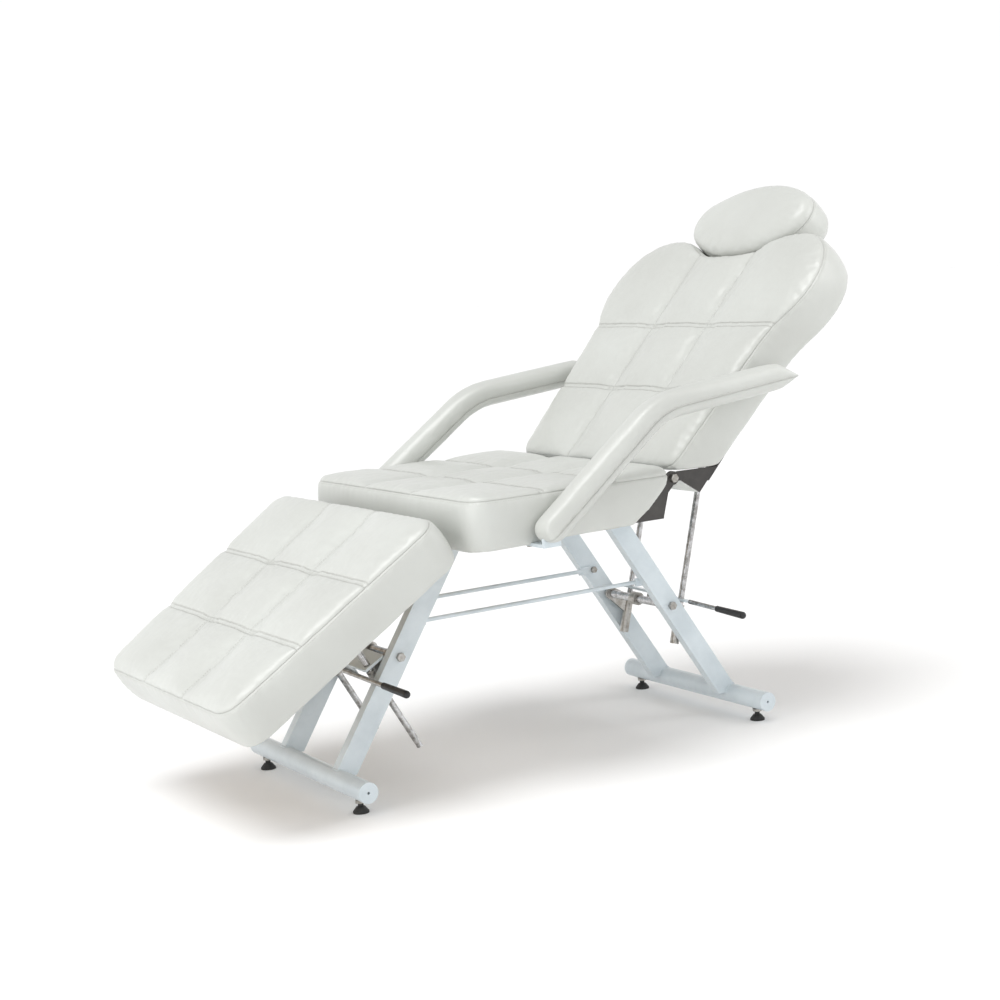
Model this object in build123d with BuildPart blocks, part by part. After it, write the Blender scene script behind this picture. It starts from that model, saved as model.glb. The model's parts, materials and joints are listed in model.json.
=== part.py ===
from build123d import *
from math import asin, atan2, cos, hypot, radians, sin, tan
import os

# Tattoo chair, millimetres, +Z up, +X towards the head end, +Y to the sitter's left

# Steel base
half_wheelbase = 444
floor_tube_length = 464
floor_tube_diameter = 38
floor_tube_height = 42
tube_wall = 2
weld_gap = 0.1
cap_depth = 14
cap_vent = 5
leg_spacing = 224
leg_face = 40
leg_depth = 20
leg_top_reach = 186
leg_inset = 8
leg_root_rise = 4
rail_height = 20
rail_overhang = 28

# Levelling feet
foot_inset = 34
pad_diameter = 29
pad_rim = 3
pad_height = 11
pad_neck_diameter = 16
foot_stem_diameter = 10
foot_stem_top = 44
foot_nut_width = 17
foot_nut_height = 5

# Tie rods between the leg pairs
tie_height = 298
tie_diameter = 8
tie_flat_length = 34
tie_flat_height = 16
tie_flat_thickness = 4
tie_bolt_diameter = 8
tie_bolt_reach = 8

# Bolts and running fits
bolt_head_share = 1.7
bolt_head_height = 6
bolt_clearance = 0.1
running_gap = 0.05
side_gap = 0.3
soft_gap = 0.3
overrun = 40

# Seat
seat_underside = 447
seat_front_overhang = 36
seat_rear_setback = 8
seat_rear_slant = 109
seat_width = 644
seat_corner = 45
seam_rise = 84
crown_rise = 99
groove_depth = 8
groove_offset = 91
seam_inset = 3
rim_rise = 9
rim_inset = 11
crown_inset = 34
rim_over_crown = 3
edge_below_groove = 1
board_thickness = 15
board_margin = 20
underside_tuck = 8
cushion_lift = 0.5

# Back, drawn flat from its hinge and then turned up about it
back_hinge_reach = 9
back_hinge_rise = 70
back_angle = radians(46.7)
back_start = 5
back_start_underside = 82
back_half_width = 273
back_waist = (297, 293)
back_waist_angle = radians(4.1)
back_shoulder = (457, 205)
shoulder_radius = 134
flare_radius = 150
flare_angle = radians(30.4)
dip = (541, 30)
back_grooves = (190, 352)
back_board_start = 94

# Headrest
headrest_half_width = 172
headrest_half_length = 91
headrest_end_radius = 60
headrest_thickness = 92
headrest_gap = 0.6
headrest_edge_inset = 14
headrest_side_inset = 2
headrest_crown_inset = 34
headrest_edge_drop = 4
headrest_board_thickness = 12
post_pitch = 88
post_diameter = 10
post_bottom = 377
post_top = 637
post_plate = (60, 120, 3)
post_sink = 0.5
socket_bottom = 367
socket_top = 535
socket_wall = 2
socket_web = 4

# Legrest, drawn flat from its hinge and then turned down about it
legrest_boss_radius = 10
legrest_hinge_drop = 0.5
legrest_angle = radians(34.2)
legrest_gap = 4
legrest_length = 499
legrest_rear_half_width = 322
legrest_front_half_width = 287
legrest_corner = 50
legrest_middle_panel = 155

# Hinge plates
hinge_plate_spacing = 524
hinge_plate_thickness = 4
hinge_boss_radius = 13
hinge_bolt_diameter = 10
flange_width = 30
flange_thickness = 3
cross_rail_width = 40
cross_rail_x = 168
web_thickness = 3
lug_thickness = 5
seat_gusset_share = 0.86
back_gusset_share = 0.8
web_top_reach = 9
web_top_rise = 51
web_foot_reach = 18

# Lock mechanism, worked out about each cross shaft
shaft_height = 244
shaft_diameter = 16
shaft_bolt_diameter = 10
shaft_bolt_hold = 12
rod_diameter = 12
rod_spacing = 176
rod_eye_radius = 9
rod_eye_width = 10
rod_pin_diameter = 10
sleeve_diameter = 18
sleeve_arm_thickness = 6
sleeve_boss_radius = 13
yoke_width = 20
ear_thickness = 4
trunnion_diameter = 6
bar_boss_diameter = 12
ear_skin = 1.2
bar_thickness = 5
pivot_rise = 8
bar_rise = 16
sleeve_top = 2
bar_hole_gap = 0.6
bar_tilt = radians(2)
bracket_base = 3
lever_diameter = 9
grip_diameter = 14
grip_taper = 1
grip_bore_gap = 0.1

# Rear lock: holds the back
back_rod_offset = 46
back_pin_along = 235.9
back_pin_drop = 23.2
back_rod_tail = 74
back_sleeve_length = 78
back_bar_span = (33, 59)
back_yoke_span = (33, 59)
back_bar_reach = (118, 104)
back_lever_end = 285
back_grip_span = (207, 294)
back_slot = (-5.2, 10.1, 2.2)

# Front lock: holds the legrest
leg_rod_offset = 50
leg_pin_along = -193.1
leg_pin_drop = 14.6
leg_rod_tail = 179
leg_sleeve_length = 40
leg_bar_span = (17, 63)
leg_bar_reach = (100, 100)
leg_yoke_span = (17, 57)
leg_lever_rise = 1
leg_lever_span = (-40, 240)
leg_grip_span = (160, 250)
leg_slot = (-6.9, 4.8, 2.0)

# Arms
arm_root_setback = 140
arm_root_rise = 25.5
arm_lean = radians(5)
arm_rise_angle = radians(36.6)
arm_level_angle = radians(6.2)
arm_rise_length = 272
arm_bend_radius = 165
arm_level_length = 252
arm_width = 54
arm_half_height = 24.5
arm_clearance = 3.5
arm_bar_thickness = 6
arm_bar_half_height = 10
arm_foot_width = 36
arm_foot_reach = 110
arm_bolt_diameter = 6
arm_bolt_places = (30, 54)

# Worked-out places
floor_tube_radius = floor_tube_diameter / 2
foot_spacing = floor_tube_length - 2 * foot_inset
rail_bottom = seat_underside - rail_height
rail_end = leg_top_reach + rail_overhang
leg_angle = atan2(rail_bottom - floor_tube_height, half_wheelbase - leg_inset - leg_top_reach)
leg_half_run = leg_face / 2 / sin(leg_angle)
seat_front = -rail_end - seat_front_overhang
seat_rear = rail_end - seat_rear_setback
seat_rear_underside = seat_rear - seat_rear_slant
back_hinge = (rail_end + back_hinge_reach, seat_underside + back_hinge_rise)
legrest_hinge = (seat_front, seat_underside - legrest_boss_radius - legrest_hinge_drop)
legrest_rear = -legrest_gap
legrest_front = legrest_rear - legrest_length
legrest_middle = legrest_rear - legrest_length / 2
legrest_grooves = (legrest_middle - legrest_middle_panel / 2, legrest_middle + legrest_middle_panel / 2)
rod_y = rod_spacing / 2
leg_y = leg_spacing / 2
leg_inner = leg_y - leg_depth / 2
leg_outer = leg_y + leg_depth / 2
plate_y = hinge_plate_spacing / 2
seat_half_width = seat_width / 2
arm_y = seat_half_width + arm_clearance + arm_width / 2
arm_root = (seat_front + arm_root_setback, seat_underside + arm_root_rise)
seam_height = seat_underside + seam_rise
crown_height = seat_underside + crown_rise
groove_height = crown_height - groove_depth
cushion_base = seat_underside + cushion_lift
board_top = seat_underside + board_thickness
headrest_bottom = crown_height - headrest_thickness
headrest_board_top = headrest_bottom + headrest_board_thickness
post_height = headrest_board_top + post_plate[2] + post_diameter / 2 - post_sink
level_place = ((0, 0), 0)
back_place = (back_hinge, back_angle)
legrest_place = (legrest_hinge, legrest_angle)
pieces = {}


def keep(name, part):
    """Label a finished piece and hold it for export."""
    part.label = name
    pieces[name] = part


def leg_axis_x(height):
    """Distance from the middle of the chair to a leg's axis at a height."""
    return half_wheelbase - leg_inset - (height - floor_tube_height) / tan(leg_angle)


shaft_offset = leg_axis_x(shaft_height)


# Planes that follow a panel turned about its hinge, with x measured from the hinge
def turned(place, x, z):
    (hx, hz), angle = place
    rise = z - hz
    return (hx + x * cos(angle) - rise * sin(angle), hz + x * sin(angle) + rise * cos(angle))


def side_plane(place, y=0):
    """Looks along +Y: sketches in flat x and z."""
    ox, oz = turned(place, 0, 0)
    return Plane(origin=(ox, y, oz), x_dir=(cos(place[1]), 0, sin(place[1])), z_dir=(0, -1, 0))


def level_plane(place, height):
    """Lies along the panel: sketches in flat x and y."""
    ox, oz = turned(place, 0, height)
    angle = place[1]
    return Plane(origin=(ox, 0, oz), x_dir=(cos(angle), 0, sin(angle)), z_dir=(-sin(angle), 0, cos(angle)))


def end_plane(place, x):
    """Stands across the panel: sketches in y and z."""
    ox, oz = turned(place, x, 0)
    angle = place[1]
    return Plane(origin=(ox, 0, oz), x_dir=(0, 1, 0), z_dir=(cos(angle), 0, sin(angle)))


def rod_direction(shaft_x, pin, offset):
    """Angle of a rod through its pin that passes the shaft at the offset, on the outer side."""
    side = 1 if shaft_x > 0 else -1
    dx = side * (pin[0] - shaft_x)
    dz = pin[1] - shaft_height
    return atan2(dz, dx) + asin(offset / hypot(dx, dz))


def lock_plane(shaft_x, angle, y=0):
    """Looks along Y: x runs outwards from the shaft square to the rod, y runs up the rod."""
    side = 1 if shaft_x > 0 else -1
    return Plane(
        origin=(shaft_x, y, shaft_height),
        x_dir=(side * sin(angle), 0, -cos(angle)),
        z_dir=(0, -side, 0),
    )


back_rod_pin = turned(back_place, back_pin_along, seat_underside - back_pin_drop)
leg_rod_pin = turned(legrest_place, leg_pin_along, seat_underside - leg_pin_drop)
back_rod_angle = rod_direction(shaft_offset, back_rod_pin, back_rod_offset)
leg_rod_angle = rod_direction(-shaft_offset, leg_rod_pin, leg_rod_offset)


# Small shared shapes
def cross_hole(x, z, radius, length, y=0):
    """A round hole along Y in the open part."""
    with Locations(Location((x, y, z), (90, 0, 0))):
        Cylinder(radius, length, mode=Mode.SUBTRACT)


def cross_pin(x, z, radius, near, far):
    """A round bar along Y from near to far."""
    with Locations(Location((x, (near + far) / 2, z), (90, 0, 0))):
        Cylinder(radius, abs(far - near))


def bolt_across(x, z, diameter, side, head_face, tip):
    """A hex bolt along Y, its head standing outside head_face on the given side."""
    with BuildPart() as bolt:
        cross_pin(x, z, diameter / 2, side * tip, side * head_face)
        with BuildSketch(Plane(origin=(x, side * head_face, z), x_dir=(1, 0, 0), z_dir=(0, side, 0))):
            RegularPolygon(diameter * bolt_head_share / 2, side_count=6)
        extrude(amount=bolt_head_height)
    return bolt.part


# Base frame
def floor_tube(end):
    with BuildPart() as tube:
        cross_pin(end * half_wheelbase, floor_tube_height, floor_tube_radius, -floor_tube_length / 2,
                  floor_tube_length / 2)
        cross_hole(end * half_wheelbase, floor_tube_height, floor_tube_radius - tube_wall,
                   floor_tube_length + overrun)
        with Locations((end * half_wheelbase, -foot_spacing / 2, 0), (end * half_wheelbase, foot_spacing / 2, 0)):
            Cylinder(foot_stem_diameter / 2 + side_gap, floor_tube_height,
                     align=(Align.CENTER, Align.CENTER, Align.MIN), mode=Mode.SUBTRACT)
    return tube.part


def tube_caps():
    """Four pressed plugs, each with a disc over the tube's end and a vent hole."""
    with BuildPart() as caps:
        for end in (-1, 1):
            for side in (-1, 1):
                face = side * floor_tube_length / 2
                cross_pin(end * half_wheelbase, floor_tube_height, floor_tube_radius, face, face + side * tube_wall)
                cross_pin(end * half_wheelbase, floor_tube_height, floor_tube_radius - tube_wall - weld_gap,
                          face - side * cap_depth, face)
            cross_hole(end * half_wheelbase, floor_tube_height, cap_vent / 2, floor_tube_length + overrun)
    return caps.part


def leg(end, side):
    """A leaning rectangular tube, notched over the floor tube and cut level under the rail."""
    bottom = floor_tube_height + leg_root_rise

    def slanted(inset, low, high):
        half = leg_half_run - inset / sin(leg_angle)
        corners = [(leg_axis_x(low) - half, low), (leg_axis_x(low) + half, low),
                   (leg_axis_x(high) + half, high), (leg_axis_x(high) - half, high)]
        return [(end * x, z) for x, z in corners]

    with BuildPart() as tube:
        with BuildSketch(side_plane(level_place, side * leg_y)):
            Polygon(*slanted(0, bottom, rail_bottom), align=None)
        extrude(amount=leg_depth / 2, both=True)
        with BuildSketch(side_plane(level_place, side * leg_y)):
            Polygon(*slanted(tube_wall, 0, rail_bottom + rail_height), align=None)
        extrude(amount=leg_depth / 2 - tube_wall, both=True, mode=Mode.SUBTRACT)
        cross_hole(end * half_wheelbase, floor_tube_height, floor_tube_radius + weld_gap, floor_tube_length)
        cross_hole(end * shaft_offset, shaft_height, shaft_bolt_diameter / 2 + running_gap, leg_depth * 2,
                   side * leg_y)
        cross_hole(end * leg_axis_x(tie_height), tie_height, tie_bolt_diameter / 2 + bolt_clearance,
                   leg_depth, side * leg_inner)
    return tube.part


def seat_rail(side):
    with BuildPart() as rail:
        with BuildSketch(end_plane(level_place, -rail_end)):
            with Locations((side * leg_y, rail_bottom + rail_height / 2)):
                Rectangle(leg_depth, rail_height)
                Rectangle(leg_depth - 2 * tube_wall, rail_height - 2 * tube_wall, mode=Mode.SUBTRACT)
        extrude(amount=2 * rail_end)
    return rail.part


def seat_cross_rail():
    half = plate_y - hinge_plate_thickness / 2
    with BuildPart() as rail:
        with BuildSketch(side_plane(level_place, half)):
            with Locations((cross_rail_x, seat_underside + rail_height / 2)):
                Rectangle(cross_rail_width, rail_height)
                Rectangle(cross_rail_width - 2 * tube_wall, rail_height - 2 * tube_wall, mode=Mode.SUBTRACT)
        extrude(amount=2 * half)
    return rail.part


def tie_rod(side):
    reach = leg_axis_x(tie_height)
    flat_start = reach + tie_flat_height / 2 - tie_flat_length
    y = side * (leg_inner - tie_flat_thickness)
    with BuildPart() as rod:
        with Locations(Location((0, y, tie_height), (0, 90, 0))):
            Cylinder(tie_diameter / 2, 2 * flat_start)
        with BuildSketch(side_plane(level_place, side * leg_inner)):
            with Locations((reach, tie_height), (-reach, tie_height)):
                Circle(tie_flat_height / 2)
            for end in (-1, 1):
                with Locations((end * (reach - tie_flat_length / 2), tie_height)):
                    Rectangle(tie_flat_length, tie_flat_height)
            with Locations((reach, tie_height), (-reach, tie_height)):
                Circle(tie_bolt_diameter / 2 + bolt_clearance, mode=Mode.SUBTRACT)
        extrude(amount=side * tie_flat_thickness)
    return rod.part


def tie_bolts():
    """Four bolts through the rods' flat ends into the legs' inner walls, heads inside."""
    inner_face = leg_inner - tie_flat_thickness
    with BuildPart() as bolts:
        for end in (-1, 1):
            for side in (-1, 1):
                x = end * leg_axis_x(tie_height)
                cross_pin(x, tie_height, tie_bolt_diameter / 2, side * inner_face,
                          side * (leg_inner + tie_bolt_reach))
                with BuildSketch(Plane(origin=(x, side * inner_face, tie_height), x_dir=(1, 0, 0),
                                       z_dir=(0, -side, 0))):
                    RegularPolygon(tie_bolt_diameter * bolt_head_share / 2, side_count=6)
                extrude(amount=bolt_head_height)
    return bolts.part


def levelling_foot(end, side):
    """A rubber pad swivelled on a threaded stem."""
    with BuildPart() as foot:
        with BuildSketch(Plane.XZ.offset(-side * foot_spacing / 2)):
            with BuildLine():
                Polyline((0, 0), (pad_diameter / 2, 0), (pad_diameter / 2, pad_rim),
                         (pad_neck_diameter / 2, pad_height), (foot_stem_diameter / 2, pad_height),
                         (foot_stem_diameter / 2, foot_stem_top), (0, foot_stem_top), close=True)
            make_face()
        revolve(axis=Axis((0, side * foot_spacing / 2, 0), (0, 0, 1)))
    return foot.part.moved(Location((end * half_wheelbase, 0, 0)))


def foot_nuts():
    """Threaded nuts welded under the floor tubes."""
    top = floor_tube_height - floor_tube_radius
    with BuildPart() as nuts:
        with BuildSketch(Plane.XY.offset(top - foot_nut_height)):
            with GridLocations(2 * half_wheelbase, foot_spacing, 2, 2):
                RegularPolygon(foot_nut_width / 2, side_count=6, major_radius=False)
                Circle(foot_stem_diameter / 2 + running_gap, mode=Mode.SUBTRACT)
        extrude(amount=foot_nut_height)
    return nuts.part


# Cushions and boards
wall_levels = ((cushion_base, underside_tuck), (cushion_base + seam_rise / 2, 0), (seam_height, seam_inset))
rim_levels = ((seam_height, seam_inset), (seam_height + rim_rise, rim_inset),
              (crown_height + rim_over_crown, crown_inset))


def quilt_profile(marks, edge, groove, crown, floor):
    """Arcs that rise between the channels, closed below."""
    with BuildSketch() as profile:
        with BuildLine():
            last = len(marks) - 1
            for i in range(last):
                start = (marks[i], edge if i == 0 else groove)
                stop = (marks[i + 1], edge if i + 1 == last else groove)
                ThreePointArc(start, ((marks[i] + marks[i + 1]) / 2, crown), stop)
            Polyline((marks[last], edge), (marks[last], floor), (marks[0], floor), (marks[0], edge))
        make_face()
    return profile.sketch


def crowned_cushion(place, outline, length_marks, half_width, wedge=None):
    """Drawn-in walls and a rounded rim, with a top of crowned panels between sewn channels."""
    edge = groove_height - edge_below_groove
    width_marks = (-half_width - board_margin, -groove_offset, groove_offset, half_width + board_margin)
    floor = seat_underside - overrun
    with BuildPart() as body:
        for height, inset in wall_levels:
            with BuildSketch(level_plane(place, height)):
                add(outline(inset))
        loft()
        for height, inset in rim_levels:
            with BuildSketch(level_plane(place, height)):
                add(outline(inset))
        loft(ruled=True)
        with BuildSketch(end_plane(place, length_marks[0] - overrun)):
            add(quilt_profile(width_marks, edge, groove_height, crown_height, floor))
        extrude(amount=length_marks[-1] - length_marks[0] + 2 * overrun, mode=Mode.INTERSECT)
        with BuildSketch(side_plane(place)):
            add(quilt_profile(length_marks, edge, groove_height, crown_height, floor))
        extrude(amount=2 * half_width, both=True, mode=Mode.INTERSECT)
        if wedge:
            with BuildSketch(side_plane(place)):
                Polygon(*wedge, align=None)
            extrude(amount=2 * half_width, both=True, mode=Mode.SUBTRACT)
    return body.part


def board_pocket(cushion, place, outline, inset):
    """Cut the room for a board into a cushion's underside."""
    with BuildPart() as pocketed:
        add(cushion)
        with BuildSketch(level_plane(place, seat_underside - overrun)):
            add(outline(inset))
        extrude(amount=overrun + board_thickness + soft_gap, mode=Mode.SUBTRACT)
    return pocketed.part


def seat_outline(inset, rear=seat_rear):
    with BuildSketch() as outline:
        with Locations(((seat_front + rear) / 2, 0)):
            RectangleRounded(rear - seat_front - 2 * inset, seat_width - 2 * inset, seat_corner - inset)
    return outline.sketch


def seat_board_outline(inset):
    return seat_outline(inset, seat_rear_underside + underside_tuck)


def seat_cushion():
    third = (seat_rear - seat_front) / 3
    marks = (seat_front - board_margin, seat_front + third, seat_rear - third, seat_rear + board_margin)
    slope = (seat_rear - seat_rear_underside) / seam_rise
    low = seat_underside - overrun
    wedge = [(seat_rear_underside - overrun * slope, low), (seat_rear, seam_height),
             (seat_rear + overrun, seam_height), (seat_rear + overrun, low)]
    body = crowned_cushion(level_place, seat_outline, marks, seat_half_width, wedge)
    return board_pocket(body, level_place, seat_board_outline, board_margin - soft_gap)


def panel_board(place, outline, inset):
    with BuildPart() as board:
        with BuildSketch(level_plane(place, seat_underside)):
            add(outline(inset))
        extrude(amount=board_thickness)
    return board.part


def seat_board():
    with BuildPart() as board:
        add(panel_board(level_place, seat_board_outline, board_margin))
        with BuildSketch(Plane.XY.offset(seat_underside)):
            for side in (-1, 1):
                for place in arm_bolt_places:
                    with Locations((arm_root[0], side * (arm_y - arm_foot_reach + place - arm_foot_width / 2))):
                        Circle(arm_bolt_diameter / 2 + bolt_clearance)
        extrude(amount=board_thickness, mode=Mode.SUBTRACT)
    return board.part


def back_outline(inset, start=back_start):
    """Straight sides that flare into round shoulders, with a hollow for the headrest."""
    corner = flange_width
    radius = flare_radius - inset
    shoulder = shoulder_radius - inset
    flare_centre = (back_shoulder[0], back_shoulder[1] + shoulder_radius - flare_radius)
    joint = (flare_centre[0] - radius * sin(flare_angle), flare_centre[1] + radius * cos(flare_angle))
    bottom = start + inset
    side = back_half_width - inset
    waist = (back_waist[0], back_waist[1] - inset)
    top = (back_shoulder[0], back_shoulder[1] + shoulder)
    crest = (back_shoulder[0] + shoulder, back_shoulder[1])
    shoulder_middle = (back_shoulder[0] + shoulder * sin(radians(45)), back_shoulder[1] + shoulder * cos(radians(45)))
    hollow = (dip[0] - inset, dip[1])
    between = ((crest[0] + hollow[0]) / 2, (crest[1] + hollow[1]) / 2)
    corner_middle = (bottom + corner * (1 - cos(radians(45))), side - corner * (1 - sin(radians(45))))
    with BuildSketch() as outline:
        with BuildLine():
            Line((bottom, 0), (bottom, side - corner))
            ThreePointArc((bottom, side - corner), corner_middle, (bottom + corner, side))
            Line((bottom + corner, side), waist)
            TangentArc(waist, joint, tangent=(cos(back_waist_angle), sin(back_waist_angle)))
            RadiusArc(joint, top, radius)
            ThreePointArc(top, shoulder_middle, crest)
            TangentArc(crest, between, tangent=(0, -1))
            TangentArc(hollow, between, tangent=(0, 1))
            Line(hollow, (hollow[0], 0))
            mirror(about=Plane.XZ)
        make_face()
    return outline.sketch


def back_board_outline(inset):
    return back_outline(inset, back_board_start - board_margin)


def back_body():
    slope = (back_start_underside - back_start) / seam_rise
    low = seat_underside - overrun
    marks = (back_start - board_margin, *back_grooves, back_shoulder[0] + shoulder_radius + board_margin)
    wedge = [(back_start_underside + overrun * slope, low), (back_start, seam_height),
             (back_start - overrun, seam_height), (back_start - overrun, low)]
    half = back_shoulder[1] + shoulder_radius
    return crowned_cushion(back_place, back_outline, marks, half, wedge)


def back_cushion():
    """The back pad, hollow for its board and for the two headrest sockets."""
    bore = post_diameter / 2 + socket_wall + soft_gap
    with BuildPart() as body:
        add(board_pocket(back_body(), back_place, back_board_outline, board_margin - soft_gap))
        with BuildSketch(end_plane(back_place, socket_bottom - soft_gap)):
            with GridLocations(post_pitch, 0, 2, 1):
                with Locations((0, post_height)):
                    Circle(bore)
                with Locations((0, (post_height + seat_underside) / 2)):
                    Rectangle(socket_web + 2 * soft_gap, post_height - seat_underside)
        extrude(amount=dip[0] + overrun - socket_bottom, mode=Mode.SUBTRACT)
    return body.part


def headrest_sockets():
    """Two tubes on short webs that stand on the back's board."""
    with BuildPart() as sockets:
        with BuildSketch(end_plane(back_place, socket_bottom)):
            with GridLocations(post_pitch, 0, 2, 1):
                with Locations((0, (post_height + board_top) / 2)):
                    Rectangle(socket_web, post_height - board_top)
                with Locations((0, post_height)):
                    Circle(post_diameter / 2 + socket_wall)
                    Circle(post_diameter / 2 + running_gap, mode=Mode.SUBTRACT)
        extrude(amount=socket_top - socket_bottom)
    return sockets.part


# Headrest
def headrest_outline(inset):
    """An oval of four tangent arcs whose lower edge lies in the back's hollow."""
    half_width = headrest_half_width - inset
    half_length = headrest_half_length - inset
    end_radius = headrest_end_radius - inset
    run = half_width - end_radius
    rise = half_length - end_radius
    drop = (run * run - rise * rise) / (2 * rise)
    reach = hypot(drop, run)
    tangent_x = end_radius * drop / reach
    tangent_y = run + end_radius * run / reach
    with BuildSketch() as outline:
        with BuildLine():
            ThreePointArc((-tangent_x, -tangent_y), (-half_length, 0), (-tangent_x, tangent_y))
            ThreePointArc((-tangent_x, tangent_y), (0, half_width), (tangent_x, tangent_y))
            ThreePointArc((tangent_x, tangent_y), (half_length, 0), (tangent_x, -tangent_y))
            ThreePointArc((tangent_x, -tangent_y), (0, -half_width), (-tangent_x, -tangent_y))
        make_face()
    return outline.sketch.moved(Location((dip[0] + headrest_gap + headrest_half_length, 0, 0)))


def headrest_cushion():
    base = headrest_bottom
    top = crown_height
    levels = ((base + cushion_lift, headrest_edge_inset),
              (base + headrest_thickness / 5, headrest_side_inset),
              (base + headrest_thickness / 2, 0),
              (top - headrest_thickness / 6, headrest_side_inset),
              (top - headrest_edge_drop, headrest_edge_inset),
              (top, headrest_crown_inset))
    plate_length, plate_width, plate_thickness = post_plate
    with BuildPart() as body:
        for height, inset in levels:
            with BuildSketch(level_plane(back_place, height)):
                add(headrest_outline(inset))
        loft(ruled=True)
        with BuildSketch(level_plane(back_place, headrest_bottom - overrun)):
            add(headrest_outline(board_margin - soft_gap))
        extrude(amount=overrun + headrest_board_thickness + soft_gap, mode=Mode.SUBTRACT)
        with BuildSketch(level_plane(back_place, headrest_board_top)):
            with Locations((post_top - plate_length / 2, 0)):
                Rectangle(plate_length + 2 * soft_gap, plate_width + 2 * soft_gap)
        extrude(amount=plate_thickness + soft_gap, mode=Mode.SUBTRACT)
        with BuildSketch(end_plane(back_place, dip[0] - overrun)):
            with GridLocations(post_pitch, 0, 2, 1):
                with Locations((0, post_height)):
                    Circle(post_diameter / 2 + soft_gap)
                with Locations((0, post_height - post_diameter / 2)):
                    Rectangle(post_diameter + 2 * soft_gap, post_diameter)
        extrude(amount=post_top - dip[0] + overrun + soft_gap, mode=Mode.SUBTRACT)
    return body.part


def headrest_board():
    with BuildPart() as board:
        with BuildSketch(level_plane(back_place, headrest_bottom)):
            add(headrest_outline(board_margin))
        extrude(amount=headrest_board_thickness)
    return board.part


def headrest_posts():
    """Two round posts on a plate that lies on the headrest's board."""
    plate_length, plate_width, plate_thickness = post_plate
    with BuildPart() as posts:
        with BuildSketch(level_plane(back_place, headrest_board_top)):
            with Locations((post_top - plate_length / 2, 0)):
                Rectangle(plate_length, plate_width)
        extrude(amount=plate_thickness)
        with BuildSketch(end_plane(back_place, post_bottom)):
            with Locations((post_pitch / 2, post_height), (-post_pitch / 2, post_height)):
                Circle(post_diameter / 2)
        extrude(amount=post_top - post_bottom)
    return posts.part


# Legrest
def legrest_outline(inset, rear=legrest_rear):
    front = legrest_front + inset
    back = rear - inset
    rear_half = legrest_rear_half_width - inset
    front_half = legrest_front_half_width - inset
    with BuildSketch() as outline:
        with BuildLine():
            Polyline((back, -rear_half), (back, rear_half), (front, front_half), (front, -front_half), close=True)
        make_face()
        fillet(outline.vertices(), legrest_corner - inset)
    return outline.sketch


def legrest_cushion():
    marks = (legrest_front - board_margin, *legrest_grooves, legrest_rear + board_margin)
    body = crowned_cushion(legrest_place, legrest_outline, marks, legrest_rear_half_width)
    return board_pocket(body, legrest_place, legrest_outline, board_margin - soft_gap)


# Hinge plates of the seat and back
def bevel_point(rear, low, share, gap):
    """A point along a cushion's slanted end, gap below it."""
    x = low + (rear - low) * share
    z = seat_underside + seam_rise * share
    slant = atan2(seam_rise, rear - low)
    return (x + gap * sin(slant), z - gap * cos(slant))


def seat_hinge_plate(side):
    """A gusset under the seat's slanted end that carries the back's hinge bolt."""
    hx, hz = back_hinge
    low = bevel_point(seat_rear, seat_rear_underside, 0, tube_wall)
    high = bevel_point(seat_rear, seat_rear_underside, seat_gusset_share, tube_wall)
    foot_end = hx - hinge_boss_radius * 2
    outer = side * (plate_y + hinge_plate_thickness / 2)
    with BuildPart() as plate:
        with BuildSketch(side_plane(level_place, outer)):
            Polygon((low[0], seat_underside), high, (hx, hz + hinge_boss_radius), (hx, hz - hinge_boss_radius),
                    (hx - hinge_boss_radius, hz - hinge_boss_radius * 2), (foot_end, seat_underside), align=None)
            with Locations(back_hinge):
                Circle(hinge_boss_radius)
                Circle(hinge_bolt_diameter / 2 + running_gap, mode=Mode.SUBTRACT)
        extrude(amount=side * hinge_plate_thickness)
        flange_start = seat_rear_underside - 2 * flange_width
        with BuildSketch(Plane.XY.offset(seat_underside - flange_thickness)):
            with Locations(((flange_start + foot_end) / 2, outer - side * flange_width / 2)):
                Rectangle(foot_end - flange_start, flange_width)
        extrude(amount=flange_thickness)
    return plate.part


back_plate_outer = plate_y - hinge_plate_thickness / 2 - side_gap
back_plate_inner = back_plate_outer - hinge_plate_thickness
web_foot = (web_foot_reach, seat_underside)
web_top = (web_top_reach, seat_underside + web_top_rise)


def back_hinge_plate(side):
    """A gusset under the back's slanted end, with a flange along the board."""
    hz = back_hinge[1]
    low = bevel_point(back_start, back_start_underside, 0, -tube_wall)
    high = bevel_point(back_start, back_start_underside, back_gusset_share, -tube_wall)
    with BuildPart() as plate:
        with BuildSketch(side_plane(back_place, side * back_plate_outer)):
            Polygon(web_foot, (back_start_underside - tube_wall, seat_underside), high, (0, hz + hinge_boss_radius),
                    (-hinge_boss_radius, hz), web_top, align=None)
            with Locations((0, hz)):
                Circle(hinge_boss_radius)
                Circle(hinge_bolt_diameter / 2 + running_gap, mode=Mode.SUBTRACT)
        extrude(amount=side * hinge_plate_thickness)
        flange_start = web_foot[0] + flange_width
        flange_end = back_board_start + 2 * flange_width
        with BuildSketch(level_plane(back_place, seat_underside - flange_thickness)):
            with Locations(((flange_start + flange_end) / 2, side * (back_plate_outer - flange_width / 2))):
                Rectangle(flange_end - flange_start, flange_width)
        extrude(amount=flange_thickness)
    return plate.part


def back_hinge_web():
    """A folded sheet between the gussets: a front wall and a lip along the underside."""
    lip = flange_width - web_thickness
    with BuildPart() as web:
        with BuildSketch(side_plane(back_place)):
            Polygon(web_top, web_foot, (web_foot[0] + lip, web_foot[1]),
                    (web_foot[0] + lip, web_foot[1] + web_thickness),
                    (web_foot[0] + web_thickness, web_foot[1] + web_thickness),
                    (web_top[0] + web_thickness, web_top[1]), align=None)
        extrude(amount=back_plate_inner, both=True)
    return web.part


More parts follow.
